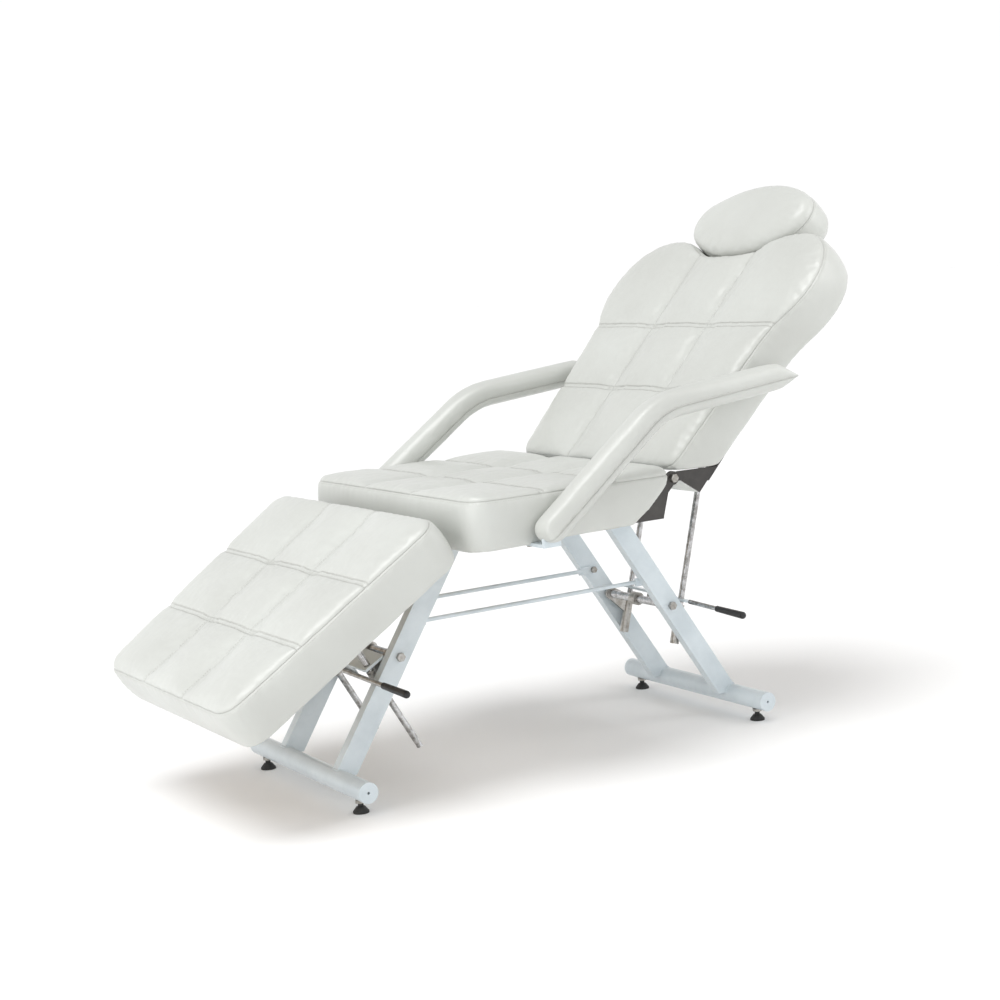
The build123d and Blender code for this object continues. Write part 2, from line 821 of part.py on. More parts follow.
def back_hinge_bolts():
    """Shoulder bolts that turn in the seat's gussets, each with its nut inside."""
    with BuildPart() as bolts:
        for side in (-1, 1):
            add(bolt_across(*back_hinge, hinge_bolt_diameter, side,
                            plate_y + hinge_plate_thickness / 2 + side_gap, back_plate_inner))
            with BuildSketch(Plane(origin=(back_hinge[0], side * back_plate_inner, back_hinge[1]),
                                   x_dir=(1, 0, 0), z_dir=(0, -side, 0))):
                RegularPolygon(hinge_bolt_diameter * bolt_head_share / 2, side_count=6)
            extrude(amount=bolt_head_height)
    return bolts.part


# Legrest hinge
arm_inner = leg_outer + lug_thickness + side_gap


def legrest_hinge_lugs():
    """Two lugs welded on the outer faces of the seat rails."""
    hx, hz = legrest_hinge
    tail = hx + 3 * flange_width
    with BuildPart() as lugs:
        for side in (-1, 1):
            with BuildSketch(side_plane(level_place, side * (leg_outer + lug_thickness))):
                Polygon((hx, hz - legrest_boss_radius), (tail, rail_bottom), (tail, seat_underside),
                        (hx, hz + legrest_boss_radius), align=None)
                with Locations(legrest_hinge):
                    Circle(legrest_boss_radius)
                    Circle(hinge_bolt_diameter / 2 + running_gap, mode=Mode.SUBTRACT)
            extrude(amount=side * lug_thickness)
    return lugs.part


def legrest_hinge_arms():
    """Two arms from the hinge bolts to flanges under the legrest's board."""
    hz = legrest_hinge[1]
    root = legrest_rear - board_margin
    tip = root - 3 * flange_width
    with BuildPart() as arms:
        for side in (-1, 1):
            outer = side * (arm_inner + lug_thickness)
            with BuildSketch(side_plane(legrest_place, outer)):
                Polygon((0, hz - legrest_boss_radius), (0, hz + legrest_boss_radius), (root, seat_underside),
                        (tip, seat_underside), (tip, seat_underside - 2 * flange_thickness), (root, rail_bottom),
                        align=None)
                with Locations((0, hz)):
                    Circle(legrest_boss_radius)
                    Circle(hinge_bolt_diameter / 2 + running_gap, mode=Mode.SUBTRACT)
            extrude(amount=side * lug_thickness)
            with BuildSketch(level_plane(legrest_place, seat_underside - flange_thickness)):
                with Locations(((root + tip) / 2, outer + side * flange_width / 2)):
                    Rectangle(root - tip, flange_width)
            extrude(amount=flange_thickness)
    return arms.part


def legrest_hinge_pins():
    """Bolts through the lugs and the arms, heads outside."""
    with BuildPart() as pins:
        for side in (-1, 1):
            add(bolt_across(*legrest_hinge, hinge_bolt_diameter, side, arm_inner + lug_thickness,
                            leg_outer + side_gap))
    return pins.part


# Lock mechanism
def cross_shaft(end):
    """A round bar between the legs' inner faces, bored at both ends for its bolts."""
    half = leg_inner - side_gap
    with BuildPart() as shaft:
        cross_pin(end * shaft_offset, shaft_height, shaft_diameter / 2, -half, half)
        for side in (-1, 1):
            cross_hole(end * shaft_offset, shaft_height, shaft_bolt_diameter / 2 + running_gap,
                       2 * shaft_bolt_hold, side * half)
    return shaft.part


def shaft_bolts(end):
    with BuildPart() as bolts:
        for side in (-1, 1):
            add(bolt_across(end * shaft_offset, shaft_height, shaft_bolt_diameter, side, leg_outer + side_gap,
                            leg_inner - shaft_bolt_hold + side_gap))
    return bolts.part


def lock_brackets(end, angle, offset, sleeve_length, span):
    """Two guide sleeves and a yoke, all welded on the cross shaft."""
    shaft_x = end * shaft_offset
    sleeve_bottom = sleeve_top - sleeve_length
    yoke_low = sleeve_top - bar_thickness
    yoke_top = yoke_low + ear_thickness
    ear_top = pivot_rise + trunnion_diameter / 2 + ear_skin
    with BuildPart() as brackets:
        for side in (-1, 1):
            plane = lock_plane(shaft_x, angle, side * rod_y)
            with BuildSketch(plane):
                Circle(sleeve_boss_radius)
                Polygon((0, -sleeve_boss_radius), (offset, sleeve_bottom / 2), (offset, sleeve_top),
                        (0, sleeve_boss_radius), align=None)
            extrude(amount=sleeve_arm_thickness / 2, both=True)
            axis_plane = Plane(origin=plane.from_local_coords((offset, sleeve_bottom, 0)), x_dir=(0, 1, 0),
                               z_dir=plane.y_dir)
            with BuildSketch(axis_plane):
                Circle(sleeve_diameter / 2)
            extrude(amount=sleeve_length)
            with BuildSketch(axis_plane.offset(-overrun)):
                Circle(rod_diameter / 2 + 2 * running_gap)
            extrude(amount=sleeve_length + 2 * overrun, mode=Mode.SUBTRACT)
        with BuildSketch(lock_plane(shaft_x, angle)):
            Circle(sleeve_boss_radius)
            Polygon((0, yoke_low), (span[1], yoke_low), (span[1], ear_top), (span[1] - ear_thickness, ear_top),
                    (span[1] - ear_thickness, yoke_top), (span[0] + ear_thickness, yoke_top),
                    (span[0] + ear_thickness, ear_top), (span[0], ear_top), (span[0], yoke_top), (0, yoke_top),
                    align=None)
        extrude(amount=yoke_width / 2, both=True)
        cross_hole(shaft_x, shaft_height, shaft_diameter / 2 + running_gap, rod_spacing * 2)
        plane = lock_plane(shaft_x, angle)
        pin_plane = Plane(origin=plane.from_local_coords((span[0], pivot_rise, 0)), x_dir=(0, 1, 0),
                          z_dir=plane.x_dir)
        with BuildSketch(pin_plane):
            Circle(trunnion_diameter / 2 + running_gap)
        extrude(amount=span[1] - span[0], mode=Mode.SUBTRACT)
    return brackets.part


def bar_plane(end, angle, rise):
    """Lies in the lock bar's face, which stands lower on the near side where the lever is."""
    plane = lock_plane(end * shaft_offset, angle)
    up = plane.y_dir * cos(bar_tilt) + Vector(0, -1, 0) * sin(bar_tilt)
    pivot = plane.from_local_coords((0, pivot_rise, 0))
    return Plane(origin=pivot + up * rise, x_dir=plane.x_dir, z_dir=up)


def lock_bar(end, angle, offset, span, reach, yoke_span):
    """The flat bar that jams on both rods while it stands a little out of square to them."""
    near, far = reach
    flip = -bar_plane(end, angle, 0).y_dir.Y
    low = bar_rise - bar_thickness / 2 - pivot_rise
    with BuildPart() as bar:
        with BuildSketch(bar_plane(end, angle, low)):
            with Locations(((span[0] + span[1]) / 2, flip * (near - far) / 2)):
                RectangleRounded(span[1] - span[0], near + far, ear_thickness)
            with Locations((offset, rod_y), (offset, -rod_y)):
                Circle(rod_diameter / 2 + bar_hole_gap, mode=Mode.SUBTRACT)
        extrude(amount=bar_thickness)
        plane = bar_plane(end, angle, 0)
        trunnion_plane = Plane(origin=plane.from_local_coords((yoke_span[0], 0, 0)), x_dir=(0, 1, 0),
                               z_dir=plane.x_dir)
        boss_start = ear_thickness + side_gap
        with BuildSketch(trunnion_plane.offset(boss_start)):
            Circle(bar_boss_diameter / 2)
        extrude(amount=yoke_span[1] - yoke_span[0] - 2 * boss_start)
        with BuildSketch(trunnion_plane):
            Circle(trunnion_diameter / 2)
        extrude(amount=yoke_span[1] - yoke_span[0])
        if end < 0:
            lip_low = leg_lever_rise - pivot_rise - lever_diameter / 2
            with BuildSketch(Plane(origin=plane.origin, x_dir=plane.x_dir, z_dir=plane.y_dir)):
                with Locations((span[1] - bracket_base / 2, -(low + bar_thickness + lip_low) / 2)):
                    Rectangle(bracket_base, low + bar_thickness - lip_low)
            extrude(amount=reach[0] / 2, both=True)
    return bar.part


def lever_plane(end, angle, offset, rise):
    """Stands across a release lever at the middle of the chair, facing the near side."""
    plane = bar_plane(end, angle, 0)
    origin = plane.from_local_coords((offset, 0, rise - pivot_rise))
    along = plane.y_dir * (-1 if plane.y_dir.Y > 0 else 1)
    return Plane(origin=origin, x_dir=plane.x_dir, z_dir=along)


def release_lever(plane, start, stop):
    with BuildPart() as lever:
        with BuildSketch(plane.offset(start)):
            Circle(lever_diameter / 2)
        extrude(amount=stop - start)
    return lever.part


def grip(plane, start, stop, lever_end):
    """A moulded handle with a round end, bored for the lever."""
    radius = grip_diameter / 2
    length = stop - start
    with BuildPart() as handle:
        with BuildSketch(Plane(origin=plane.offset(start).origin, x_dir=plane.z_dir, z_dir=plane.x_dir)):
            with BuildLine():
                Line((0, 0), (0, radius - grip_taper))
                Line((0, radius - grip_taper), (length - radius, radius))
                ThreePointArc((length - radius, radius), (length - radius * (1 - sin(radians(45))),
                                                        radius * cos(radians(45))), (length, 0))
                Line((length, 0), (0, 0))
            make_face()
        revolve(axis=Axis(plane.offset(start).origin, plane.z_dir))
        with BuildSketch(plane.offset(start)):
            Circle(lever_diameter / 2 + grip_bore_gap)
        extrude(amount=lever_end - start + grip_bore_gap, mode=Mode.SUBTRACT)
    return handle.part


def lock_rods(end, angle, offset, pin, tail):
    """Two round rods, each with an eye at its top end."""
    plane = lock_plane(end * shaft_offset, angle)
    top = plane.to_local_coords(Vector(pin[0], 0, pin[1])).Y
    with BuildPart() as rods:
        for side in (-1, 1):
            foot = lock_plane(end * shaft_offset, angle, side * rod_y).from_local_coords((offset, -tail, 0))
            with BuildSketch(Plane(origin=foot, x_dir=(0, 1, 0), z_dir=plane.y_dir)):
                Circle(rod_diameter / 2)
            extrude(amount=top + tail - rod_pin_diameter / 2 - tube_wall)
            cross_pin(*pin, rod_eye_radius, side * rod_y - rod_eye_width / 2, side * rod_y + rod_eye_width / 2)
            cross_hole(*pin, rod_pin_diameter / 2 + running_gap, rod_diameter * 2, side * rod_y)
    return rods.part


bracket_inner = rod_diameter / 2 + 2 * side_gap
bracket_outer = bracket_inner + ear_thickness


def rod_pins(pin):
    """A headed pin through each rod's eye and its bracket's slots."""
    half = bracket_outer + side_gap
    with BuildPart() as pins:
        for side in (-1, 1):
            cross_pin(*pin, rod_pin_diameter / 2, side * rod_y - half, side * rod_y + half)
            for face in (-1, 1):
                cross_pin(*pin, rod_pin_diameter / 2 + tube_wall, side * rod_y + face * half,
                          side * rod_y + face * (half + tube_wall))
    return pins.part


def rod_brackets(place, pin, slot):
    """A base plate under the board with a pair of slotted ears for each rod."""
    plane = side_plane(place)
    local = plane.to_local_coords(Vector(pin[0], 0, pin[1]))
    low, high, across = slot
    radius = rod_pin_diameter / 2 + across
    length = high - low
    middle = local.X + (low + high) / 2
    ear_reach = radius + ear_thickness
    ear_length = length + 2 * ear_reach
    with BuildPart() as brackets:
        with BuildSketch(level_plane(place, seat_underside - bracket_base)):
            with Locations((middle, -rod_y), (middle, rod_y)):
                Rectangle(ear_length + flange_width, 2 * bracket_outer)
        extrude(amount=bracket_base)
        for side in (-1, 1):
            for face in (-1, 1):
                inner = side * rod_y + face * bracket_inner
                with BuildSketch(side_plane(place, inner)):
                    with Locations((middle, local.Y)):
                        SlotCenterToCenter(length, 2 * ear_reach)
                    with Locations((middle, (local.Y + seat_underside - bracket_base) / 2)):
                        Rectangle(ear_length, seat_underside - bracket_base - local.Y)
                    with Locations((middle, local.Y)):
                        SlotCenterToCenter(length, 2 * radius, mode=Mode.SUBTRACT)
                extrude(amount=-face * ear_thickness)
    return brackets.part


# Arms
def arm_plane(side, outward=0):
    """Leans in over the seat from the arm's root: sketches in x and height."""
    rise = Vector(0, -side * sin(arm_lean), cos(arm_lean))
    out = Vector(0, side * cos(arm_lean), sin(arm_lean))
    root = Vector(0, side * arm_y, arm_root[1])
    return Plane(origin=root - rise * arm_root[1] + out * outward, x_dir=(1, 0, 0), z_dir=out * -side)


def arm_outline(half):
    """A rising stretch, a bend and a long nearly level stretch, both ends round."""
    ax, az = arm_root
    rise = (cos(arm_rise_angle), sin(arm_rise_angle))
    level = (cos(arm_level_angle), sin(arm_level_angle))
    bx, bz = ax + arm_rise_length * rise[0], az + arm_rise_length * rise[1]
    cx, cz = bx + arm_bend_radius * rise[1], bz - arm_bend_radius * rise[0]

    def around(centre, radius, direction):
        return (centre[0] + radius * cos(direction), centre[1] + radius * sin(direction))

    up_start = arm_rise_angle + radians(90)
    up_end = arm_level_angle + radians(90)
    up_middle = (up_start + up_end) / 2
    bend_end = around((cx, cz), arm_bend_radius, up_end)
    end = (bend_end[0] + arm_level_length * level[0], bend_end[1] + arm_level_length * level[1])
    centre = (cx, cz)
    with BuildSketch() as outline:
        with BuildLine():
            Line(around(arm_root, half, up_start), around((bx, bz), half, up_start))
            ThreePointArc(around((bx, bz), half, up_start), around(centre, arm_bend_radius + half, up_middle),
                          around(bend_end, half, up_end))
            Line(around(bend_end, half, up_end), around(end, half, up_end))
            ThreePointArc(around(end, half, up_end), around(end, half, arm_level_angle + radians(45)),
                          around(end, half, arm_level_angle))
            ThreePointArc(around(end, half, arm_level_angle), around(end, half, arm_level_angle - radians(45)),
                          around(end, -half, up_end))
            Line(around(end, -half, up_end), around(bend_end, -half, up_end))
            ThreePointArc(around(bend_end, -half, up_end), around(centre, arm_bend_radius - half, up_middle),
                          around((bx, bz), -half, up_start))
            Line(around((bx, bz), -half, up_start), around(arm_root, -half, up_start))
            ThreePointArc(around(arm_root, -half, up_start), around(arm_root, -half, arm_rise_angle + radians(45)),
                          around(arm_root, -half, arm_rise_angle))
            ThreePointArc(around(arm_root, -half, arm_rise_angle), around(arm_root, half, up_start + radians(45)),
                          around(arm_root, half, up_start))
        make_face()
    return outline.sketch


def arm_drop_box(grow):
    """The strap's upright end, from the arm's centreline down to the foot under the seat."""
    foot_low = seat_underside - arm_bar_thickness
    with BuildSketch() as box:
        with Locations((arm_root[0], (arm_root[1] + foot_low) / 2)):
            Rectangle(arm_foot_width + 2 * grow, arm_root[1] - foot_low)
    return box.sketch


def arm_pad(side):
    steps_share = ((-0.5, 0.6), (-0.46, 0.8), (-0.34, 0.95), (-0.1, 1), (0.16, 1), (0.38, 0.95), (0.47, 0.8),
                   (0.5, 0.6))
    with BuildPart() as pad:
        for across_share, half_share in steps_share:
            with BuildSketch(arm_plane(side, across_share * arm_width)):
                add(arm_outline(arm_half_height * half_share))
        loft(ruled=True)
        with BuildSketch(arm_plane(side)):
            add(arm_outline(arm_bar_half_height + soft_gap))
        extrude(amount=arm_bar_thickness / 2 + soft_gap, both=True, mode=Mode.SUBTRACT)
        with BuildSketch(side_plane(level_place, side * arm_y)):
            add(arm_drop_box(soft_gap))
        extrude(amount=arm_bar_thickness / 2 + soft_gap, both=True, mode=Mode.SUBTRACT)
    return pad.part


def arm_bar(side):
    """The steel strap inside the pad, turned under the seat at its lower end."""
    with BuildPart() as bar:
        with BuildSketch(arm_plane(side)):
            add(arm_outline(arm_bar_half_height))
        extrude(amount=arm_bar_thickness / 2, both=True)
        with BuildSketch(side_plane(level_place, side * arm_y)):
            add(arm_drop_box(0))
        extrude(amount=arm_bar_thickness / 2, both=True)
        with BuildSketch(Plane.XY.offset(seat_underside - arm_bar_thickness)):
            outer = arm_y + arm_bar_thickness / 2
            inner = arm_y - arm_foot_reach
            with Locations((arm_root[0], side * (outer + inner) / 2)):
                Rectangle(arm_foot_width, outer - inner)
            for place in arm_bolt_places:
                with Locations((arm_root[0], side * (inner + place - arm_foot_width / 2))):
                    Circle(arm_bolt_diameter / 2 + bolt_clearance, mode=Mode.SUBTRACT)
        extrude(amount=arm_bar_thickness)
    return bar.part


def arm_bolts():
    top = seat_underside - arm_bar_thickness
    with BuildPart() as bolts:
        spots = [(arm_root[0], side * (arm_y - arm_foot_reach + place - arm_foot_width / 2))
                 for side in (-1, 1) for place in arm_bolt_places]
        with BuildSketch(Plane.XY.offset(top - bolt_head_height)):
            with Locations(*spots):
                RegularPolygon(arm_bolt_diameter * bolt_head_share / 2, side_count=6)
        extrude(amount=bolt_head_height)
        with BuildSketch(Plane.XY.offset(top)):
            with Locations(*spots):
                Circle(arm_bolt_diameter / 2)
        extrude(amount=arm_bar_thickness + board_thickness - tube_wall)
    return bolts.part


# Put the chair together
for end_name, end in (("front", -1), ("rear", 1)):
    keep(f"{end_name}_floor_tube", floor_tube(end))
    for side_name, side in (("right", -1), ("left", 1)):
        keep(f"{end_name}_leg_{side_name}", leg(end, side))
        keep(f"levelling_foot_{end_name}_{side_name}", levelling_foot(end, side))
keep("floor_tube_caps", tube_caps())
keep("foot_nuts", foot_nuts())
keep("tie_rod_bolts", tie_bolts())
keep("seat_cross_rail", seat_cross_rail())
keep("seat_board", seat_board())
keep("seat_cushion", seat_cushion())
keep("arm_bolts", arm_bolts())
keep("legrest_hinge_lugs", legrest_hinge_lugs())
for side_name, side in (("right", -1), ("left", 1)):
    keep(f"seat_rail_{side_name}", seat_rail(side))
    keep(f"tie_rod_{side_name}", tie_rod(side))
    keep(f"seat_hinge_plate_{side_name}", seat_hinge_plate(side))
    keep(f"back_hinge_plate_{side_name}", back_hinge_plate(side))
    keep(f"arm_bar_{side_name}", arm_bar(side))
    keep(f"arm_pad_{side_name}", arm_pad(side))
keep("back_hinge_web", back_hinge_web())
keep("back_hinge_bolts", back_hinge_bolts())
keep("back_board", panel_board(back_place, back_board_outline, board_margin))
keep("back_cushion", back_cushion())
keep("back_rod_brackets", rod_brackets(back_place, back_rod_pin, back_slot))
keep("headrest_sockets", headrest_sockets())
keep("headrest_posts", headrest_posts())
keep("headrest_board", headrest_board())
keep("headrest_cushion", headrest_cushion())
keep("legrest_board", panel_board(legrest_place, legrest_outline, board_margin))
keep("legrest_cushion", legrest_cushion())
keep("legrest_hinge_arms", legrest_hinge_arms())
keep("legrest_hinge_pins", legrest_hinge_pins())
keep("legrest_rod_brackets", rod_brackets(legrest_place, leg_rod_pin, leg_slot))

keep("rear_cross_shaft", cross_shaft(1))
keep("rear_shaft_bolts", shaft_bolts(1))
keep("back_lock_brackets", lock_brackets(1, back_rod_angle, back_rod_offset, back_sleeve_length, back_yoke_span))
keep("back_lock_bar", lock_bar(1, back_rod_angle, back_rod_offset, back_bar_span, back_bar_reach, back_yoke_span))
back_lever_axis = lever_plane(1, back_rod_angle, back_rod_offset, bar_rise)
keep("back_release_lever", release_lever(back_lever_axis, back_bar_reach[0], back_lever_end))
keep("back_lever_grip", grip(back_lever_axis, *back_grip_span, back_lever_end))
keep("back_rods", lock_rods(1, back_rod_angle, back_rod_offset, back_rod_pin, back_rod_tail))
keep("back_rod_pins", rod_pins(back_rod_pin))

keep("front_cross_shaft", cross_shaft(-1))
keep("front_shaft_bolts", shaft_bolts(-1))
keep("legrest_lock_brackets", lock_brackets(-1, leg_rod_angle, leg_rod_offset, leg_sleeve_length, leg_yoke_span))
keep("legrest_lock_bar", lock_bar(-1, leg_rod_angle, leg_rod_offset, leg_bar_span, leg_bar_reach, leg_yoke_span))
leg_lever_offset = leg_bar_span[1] + lever_diameter / 2 + running_gap
leg_lever_axis = lever_plane(-1, leg_rod_angle, leg_lever_offset, leg_lever_rise)
keep("legrest_release_lever", release_lever(leg_lever_axis, *leg_lever_span))
keep("legrest_lever_grip", grip(leg_lever_axis, *leg_grip_span, leg_lever_span[1]))
keep("legrest_rods", lock_rods(-1, leg_rod_angle, leg_rod_offset, leg_rod_pin, leg_rod_tail))
keep("legrest_rod_pins", rod_pins(leg_rod_pin))

# The origin lies on the floor under the middle of the whole chair
boxes = [part.bounding_box() for part in pieces.values()]
middle = (min(box.min.X for box in boxes) + max(box.max.X for box in boxes)) / 2
os.makedirs("parts", exist_ok=True)
for name, part in pieces.items():
    solids = [solid.moved(Location((-middle, 0, 0))) for solid in part.solids()]
    placed = solids[0] if len(solids) == 1 else Compound(solids)
    placed.label = name
    export_step(placed, f"parts/{name}.step")

# Places of the joints in the chair's frame
print("middle", round(middle, 3))
for name, (x, z) in (("back_hinge", back_hinge), ("legrest_hinge", legrest_hinge),
                     ("rear_shaft", (shaft_offset, shaft_height)), ("front_shaft", (-shaft_offset, shaft_height)),
                     ("back_rod_pin", back_rod_pin), ("leg_rod_pin", leg_rod_pin)):
    print(name, round(x - middle, 3), round(z, 3))
for name, end, angle in (("rear", 1, back_rod_angle), ("front", -1, leg_rod_angle)):
    plane = lock_plane(end * shaft_offset, angle)
    pivot = plane.from_local_coords((0, pivot_rise, 0))
    print(name, "rod direction", plane.y_dir, "across", plane.x_dir, "pivot", pivot.X - middle, pivot.Z)
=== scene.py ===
import json
from math import cos, exp, hypot, radians, sin

import bmesh
import bpy
from mathutils import Matrix, Vector, noise
from mathutils.bvhtree import BVHTree
from mathutils.kdtree import KDTree


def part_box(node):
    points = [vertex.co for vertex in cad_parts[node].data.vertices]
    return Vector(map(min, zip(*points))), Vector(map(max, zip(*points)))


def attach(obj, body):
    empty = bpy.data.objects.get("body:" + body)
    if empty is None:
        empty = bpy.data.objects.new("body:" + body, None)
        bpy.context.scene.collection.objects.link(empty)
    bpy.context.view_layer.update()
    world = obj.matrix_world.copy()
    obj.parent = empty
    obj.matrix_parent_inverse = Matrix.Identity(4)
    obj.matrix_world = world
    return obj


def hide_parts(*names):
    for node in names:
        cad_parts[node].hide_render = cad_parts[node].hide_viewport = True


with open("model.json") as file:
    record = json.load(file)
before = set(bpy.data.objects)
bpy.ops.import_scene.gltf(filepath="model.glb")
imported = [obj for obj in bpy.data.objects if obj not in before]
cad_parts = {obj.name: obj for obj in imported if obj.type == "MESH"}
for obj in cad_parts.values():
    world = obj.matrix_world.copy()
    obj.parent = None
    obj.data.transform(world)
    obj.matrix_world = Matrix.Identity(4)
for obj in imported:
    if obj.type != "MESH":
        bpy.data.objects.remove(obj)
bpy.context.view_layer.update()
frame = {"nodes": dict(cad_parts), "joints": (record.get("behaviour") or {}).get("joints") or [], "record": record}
nodes = frame["nodes"]
joints = {joint["name"]: joint for joint in frame["joints"]}
mm = 0.001
back_hinge = Vector(joints["back_tilt"]["pos_m"])
legrest_hinge = Vector(joints["legrest_tilt"]["pos_m"])

# Camera, from the photograph's size and the sight lines of the base, seat and back
image_width = 1000
camera_yaw = radians(30.78)
camera_pitch = radians(-7.84)
camera_roll = radians(-3.99)
focal_pixels = 1880.46
centre_pixel = (505.90, 517.29)
sensor_width = 36
camera_place = (back_hinge.x - 2.058936, -3.10083, 0.94586)

# Working on meshes: doubles closer than the first are merged, and rows of fewer points left out
merge_distance = 0.01 * mm
cut_tolerance = 0.001 * mm
fewest_points = 8

# Upholstery, in the flat position of each panel
remesh_size = 6 * mm
softening_turns = 3
panel_seam_rise = 84 * mm
headrest_seam_rise = 66 * mm
row_offset = 91 * mm
row_pull = 6 * mm
row_width = 22 * mm
row_end_fade = 70 * mm
tuft_pull = 8 * mm
tuft_radius = 24 * mm
lowest_dip = 3 * mm
channel_half = 4.5 * mm
top_margin = 2 * mm

# How the skin swells under its pressure, and the shares of freedom beside what holds it
pressure_force = 4
settle_frames = 14
panel_cap = 12 * mm
headrest_cap = 5 * mm
board_margin = 3 * mm
sewn_share, sewn_reach = 0.08, 45 * mm
end_share, end_reach = 0.3, 60 * mm
rim_share, rim_reach = 0.12, 40 * mm
wall_reach = 45 * mm

# Folds pressed in along the seams, and the gathers beside them
fold_pitch = 1.5 * mm
seam_depth, seam_width = 1.8 * mm, 3 * mm
channel_depth, channel_width = 2.2 * mm, 6 * mm
pucker_height = 1 * mm
pucker_floor = 10 * mm
flat_enough = 0.8
gather_pitch, gather_length = 11 * mm, 60 * mm
rim_gather_pitch, rim_gather_length = 14 * mm, 90 * mm
channel_gather_reach = 24 * mm
row_gather_reach = 20 * mm
rim_gather_reach = 20 * mm
row_gather_share = 0.7
channel_layer, row_layer = 1.5, 4.5

# Sewing: a stitch's points as their share of its length and their height over the skin
stitch_gap = 3.2 * mm
stitch_pitch = 5.2 * mm
stitch_length = 3.6 * mm
thread_radius = 0.42 * mm
stitch_points = ((-0.5, -thread_radius), (0, thread_radius), (0.5, -thread_radius))

# Seam distances kept on the mesh: their value on a seam, and the distance where there is none
seam_zero = 1
far_away = 0.5

# Arms: the middle line's root, rise, bend and level stretch, then the sleeve over it
arm_lean = radians(5)
arm_rise_angle = radians(36.6)
arm_level_angle = radians(6.2)
arm_root = Vector((legrest_hinge.x + 140 * mm, 352.5 * mm, 472.5 * mm))
arm_rise_length = 272 * mm
arm_rise_pitch = 5 * mm
arm_bend_radius = 165 * mm
arm_bend_steps = 18
arm_level_length = 252 * mm
arm_level_steps = 50
arm_remesh_size = 5 * mm
arm_softening_turns = 4
arm_seam_drop = -8 * mm
arm_cap = 4 * mm
arm_far_out = 100 * mm
arm_gather_pitch = 13 * mm
arm_gather_reach = 14 * mm
arm_gather_share = 0.6
pinch_start, pinch_length = 22 * mm, 40 * mm
pinch_depth = 0.86
tip_share = 0.35

# Welds
bead_radius = 1.8 * mm
bead_pitch = 1.2 * mm
bead_ripple, bead_ripple_turn = 0.25, 1.9
weld_tolerance = 0.3 * mm
weld_fewest_points = 3

# Channels of the back and legrest, from their hinges, in the flat position
back_channels = (190 * mm, 352 * mm)
legrest_channels = (-331 * mm, -176 * mm)


# Frames of the panels
def panel_matrix(joint_name):
    """From a panel's flat position to its place at rest: the flat position is the joint's lower limit."""
    joint = joints[joint_name]
    pivot = Matrix.Translation(joint["pos_m"])
    turn = Matrix.Rotation(radians(-joint["range_deg"][0]), 4, Vector(joint["axis"]))
    return pivot @ turn @ pivot.inverted()


level = Matrix.Identity(4)
back_turn = panel_matrix("back_tilt")
legrest_turn = panel_matrix("legrest_tilt")


# Mesh helpers
def placed(name, data):
    """A new object for its data, in the scene."""
    thing = bpy.data.objects.new(name, data)
    bpy.context.scene.collection.objects.link(thing)
    return thing


def new_object(name, bm, material):
    """A finished smooth piece from an open mesh."""
    mesh = bpy.data.meshes.new(name)
    bm.to_mesh(mesh)
    bm.free()
    mesh.polygons.foreach_set("use_smooth", [True] * len(mesh.polygons))
    mesh.materials.append(material)
    return placed(name, mesh)


def new_curve(name, radius, material, roundness):
    """A round thread or bead, still without its splines."""
    curve = bpy.data.curves.new(name, "CURVE")
    curve.dimensions = "3D"
    curve.bevel_depth = radius
    curve.bevel_resolution = roundness
    curve.materials.append(material)
    return placed(name, curve)


def merged_copy(node, place=level):
    """A closed copy of a node's mesh, taken back to its flat position."""
    bm = bmesh.new()
    bm.from_mesh(nodes[node].data)
    bmesh.ops.remove_doubles(bm, verts=bm.verts, dist=merge_distance)
    bmesh.ops.transform(bm, matrix=place.inverted(), verts=bm.verts)
    return bm


def work_object(bm):
    """A passing object made of an open mesh, which is used up."""
    mesh = bpy.data.meshes.new("work")
    bm.to_mesh(mesh)
    bm.free()
    return placed("work", mesh)


def applied(work):
    """The work object's mesh with its modifiers applied."""
    evaluated = work.evaluated_get(bpy.context.evaluated_depsgraph_get())
    return bpy.data.meshes.new_from_object(evaluated)


def taken_back(work, mesh):
    """An open mesh again, with the work object removed."""
    result = bmesh.new()
    result.from_mesh(mesh)
    bpy.data.objects.remove(work)
    return result


def applied_modifier(bm, kind, **settings):
    """Run one modifier on an open mesh and return the result as an open mesh."""
    work = work_object(bm)
    modifier = work.modifiers.new(kind.lower(), kind)
    for key, value in settings.items():
        setattr(modifier, key, value)
    return taken_back(work, applied(work))


def remeshed(bm, size):
    """One closed skin of even faces over the mesh."""
    return applied_modifier(bm, "REMESH", mode="VOXEL", voxel_size=size, adaptivity=0)


def subdivided(bm):
    """The skin with each face split in four and rounded."""
    return applied_modifier(bm, "SUBSURF", levels=1, render_levels=1)


def softened(bm, turns):
    """Smooth an open mesh evenly, a number of times."""
    for turn in range(turns):
        bmesh.ops.smooth_vert(bm, verts=bm.verts, factor=0.5, use_axis_x=True, use_axis_y=True,
                              use_axis_z=True)


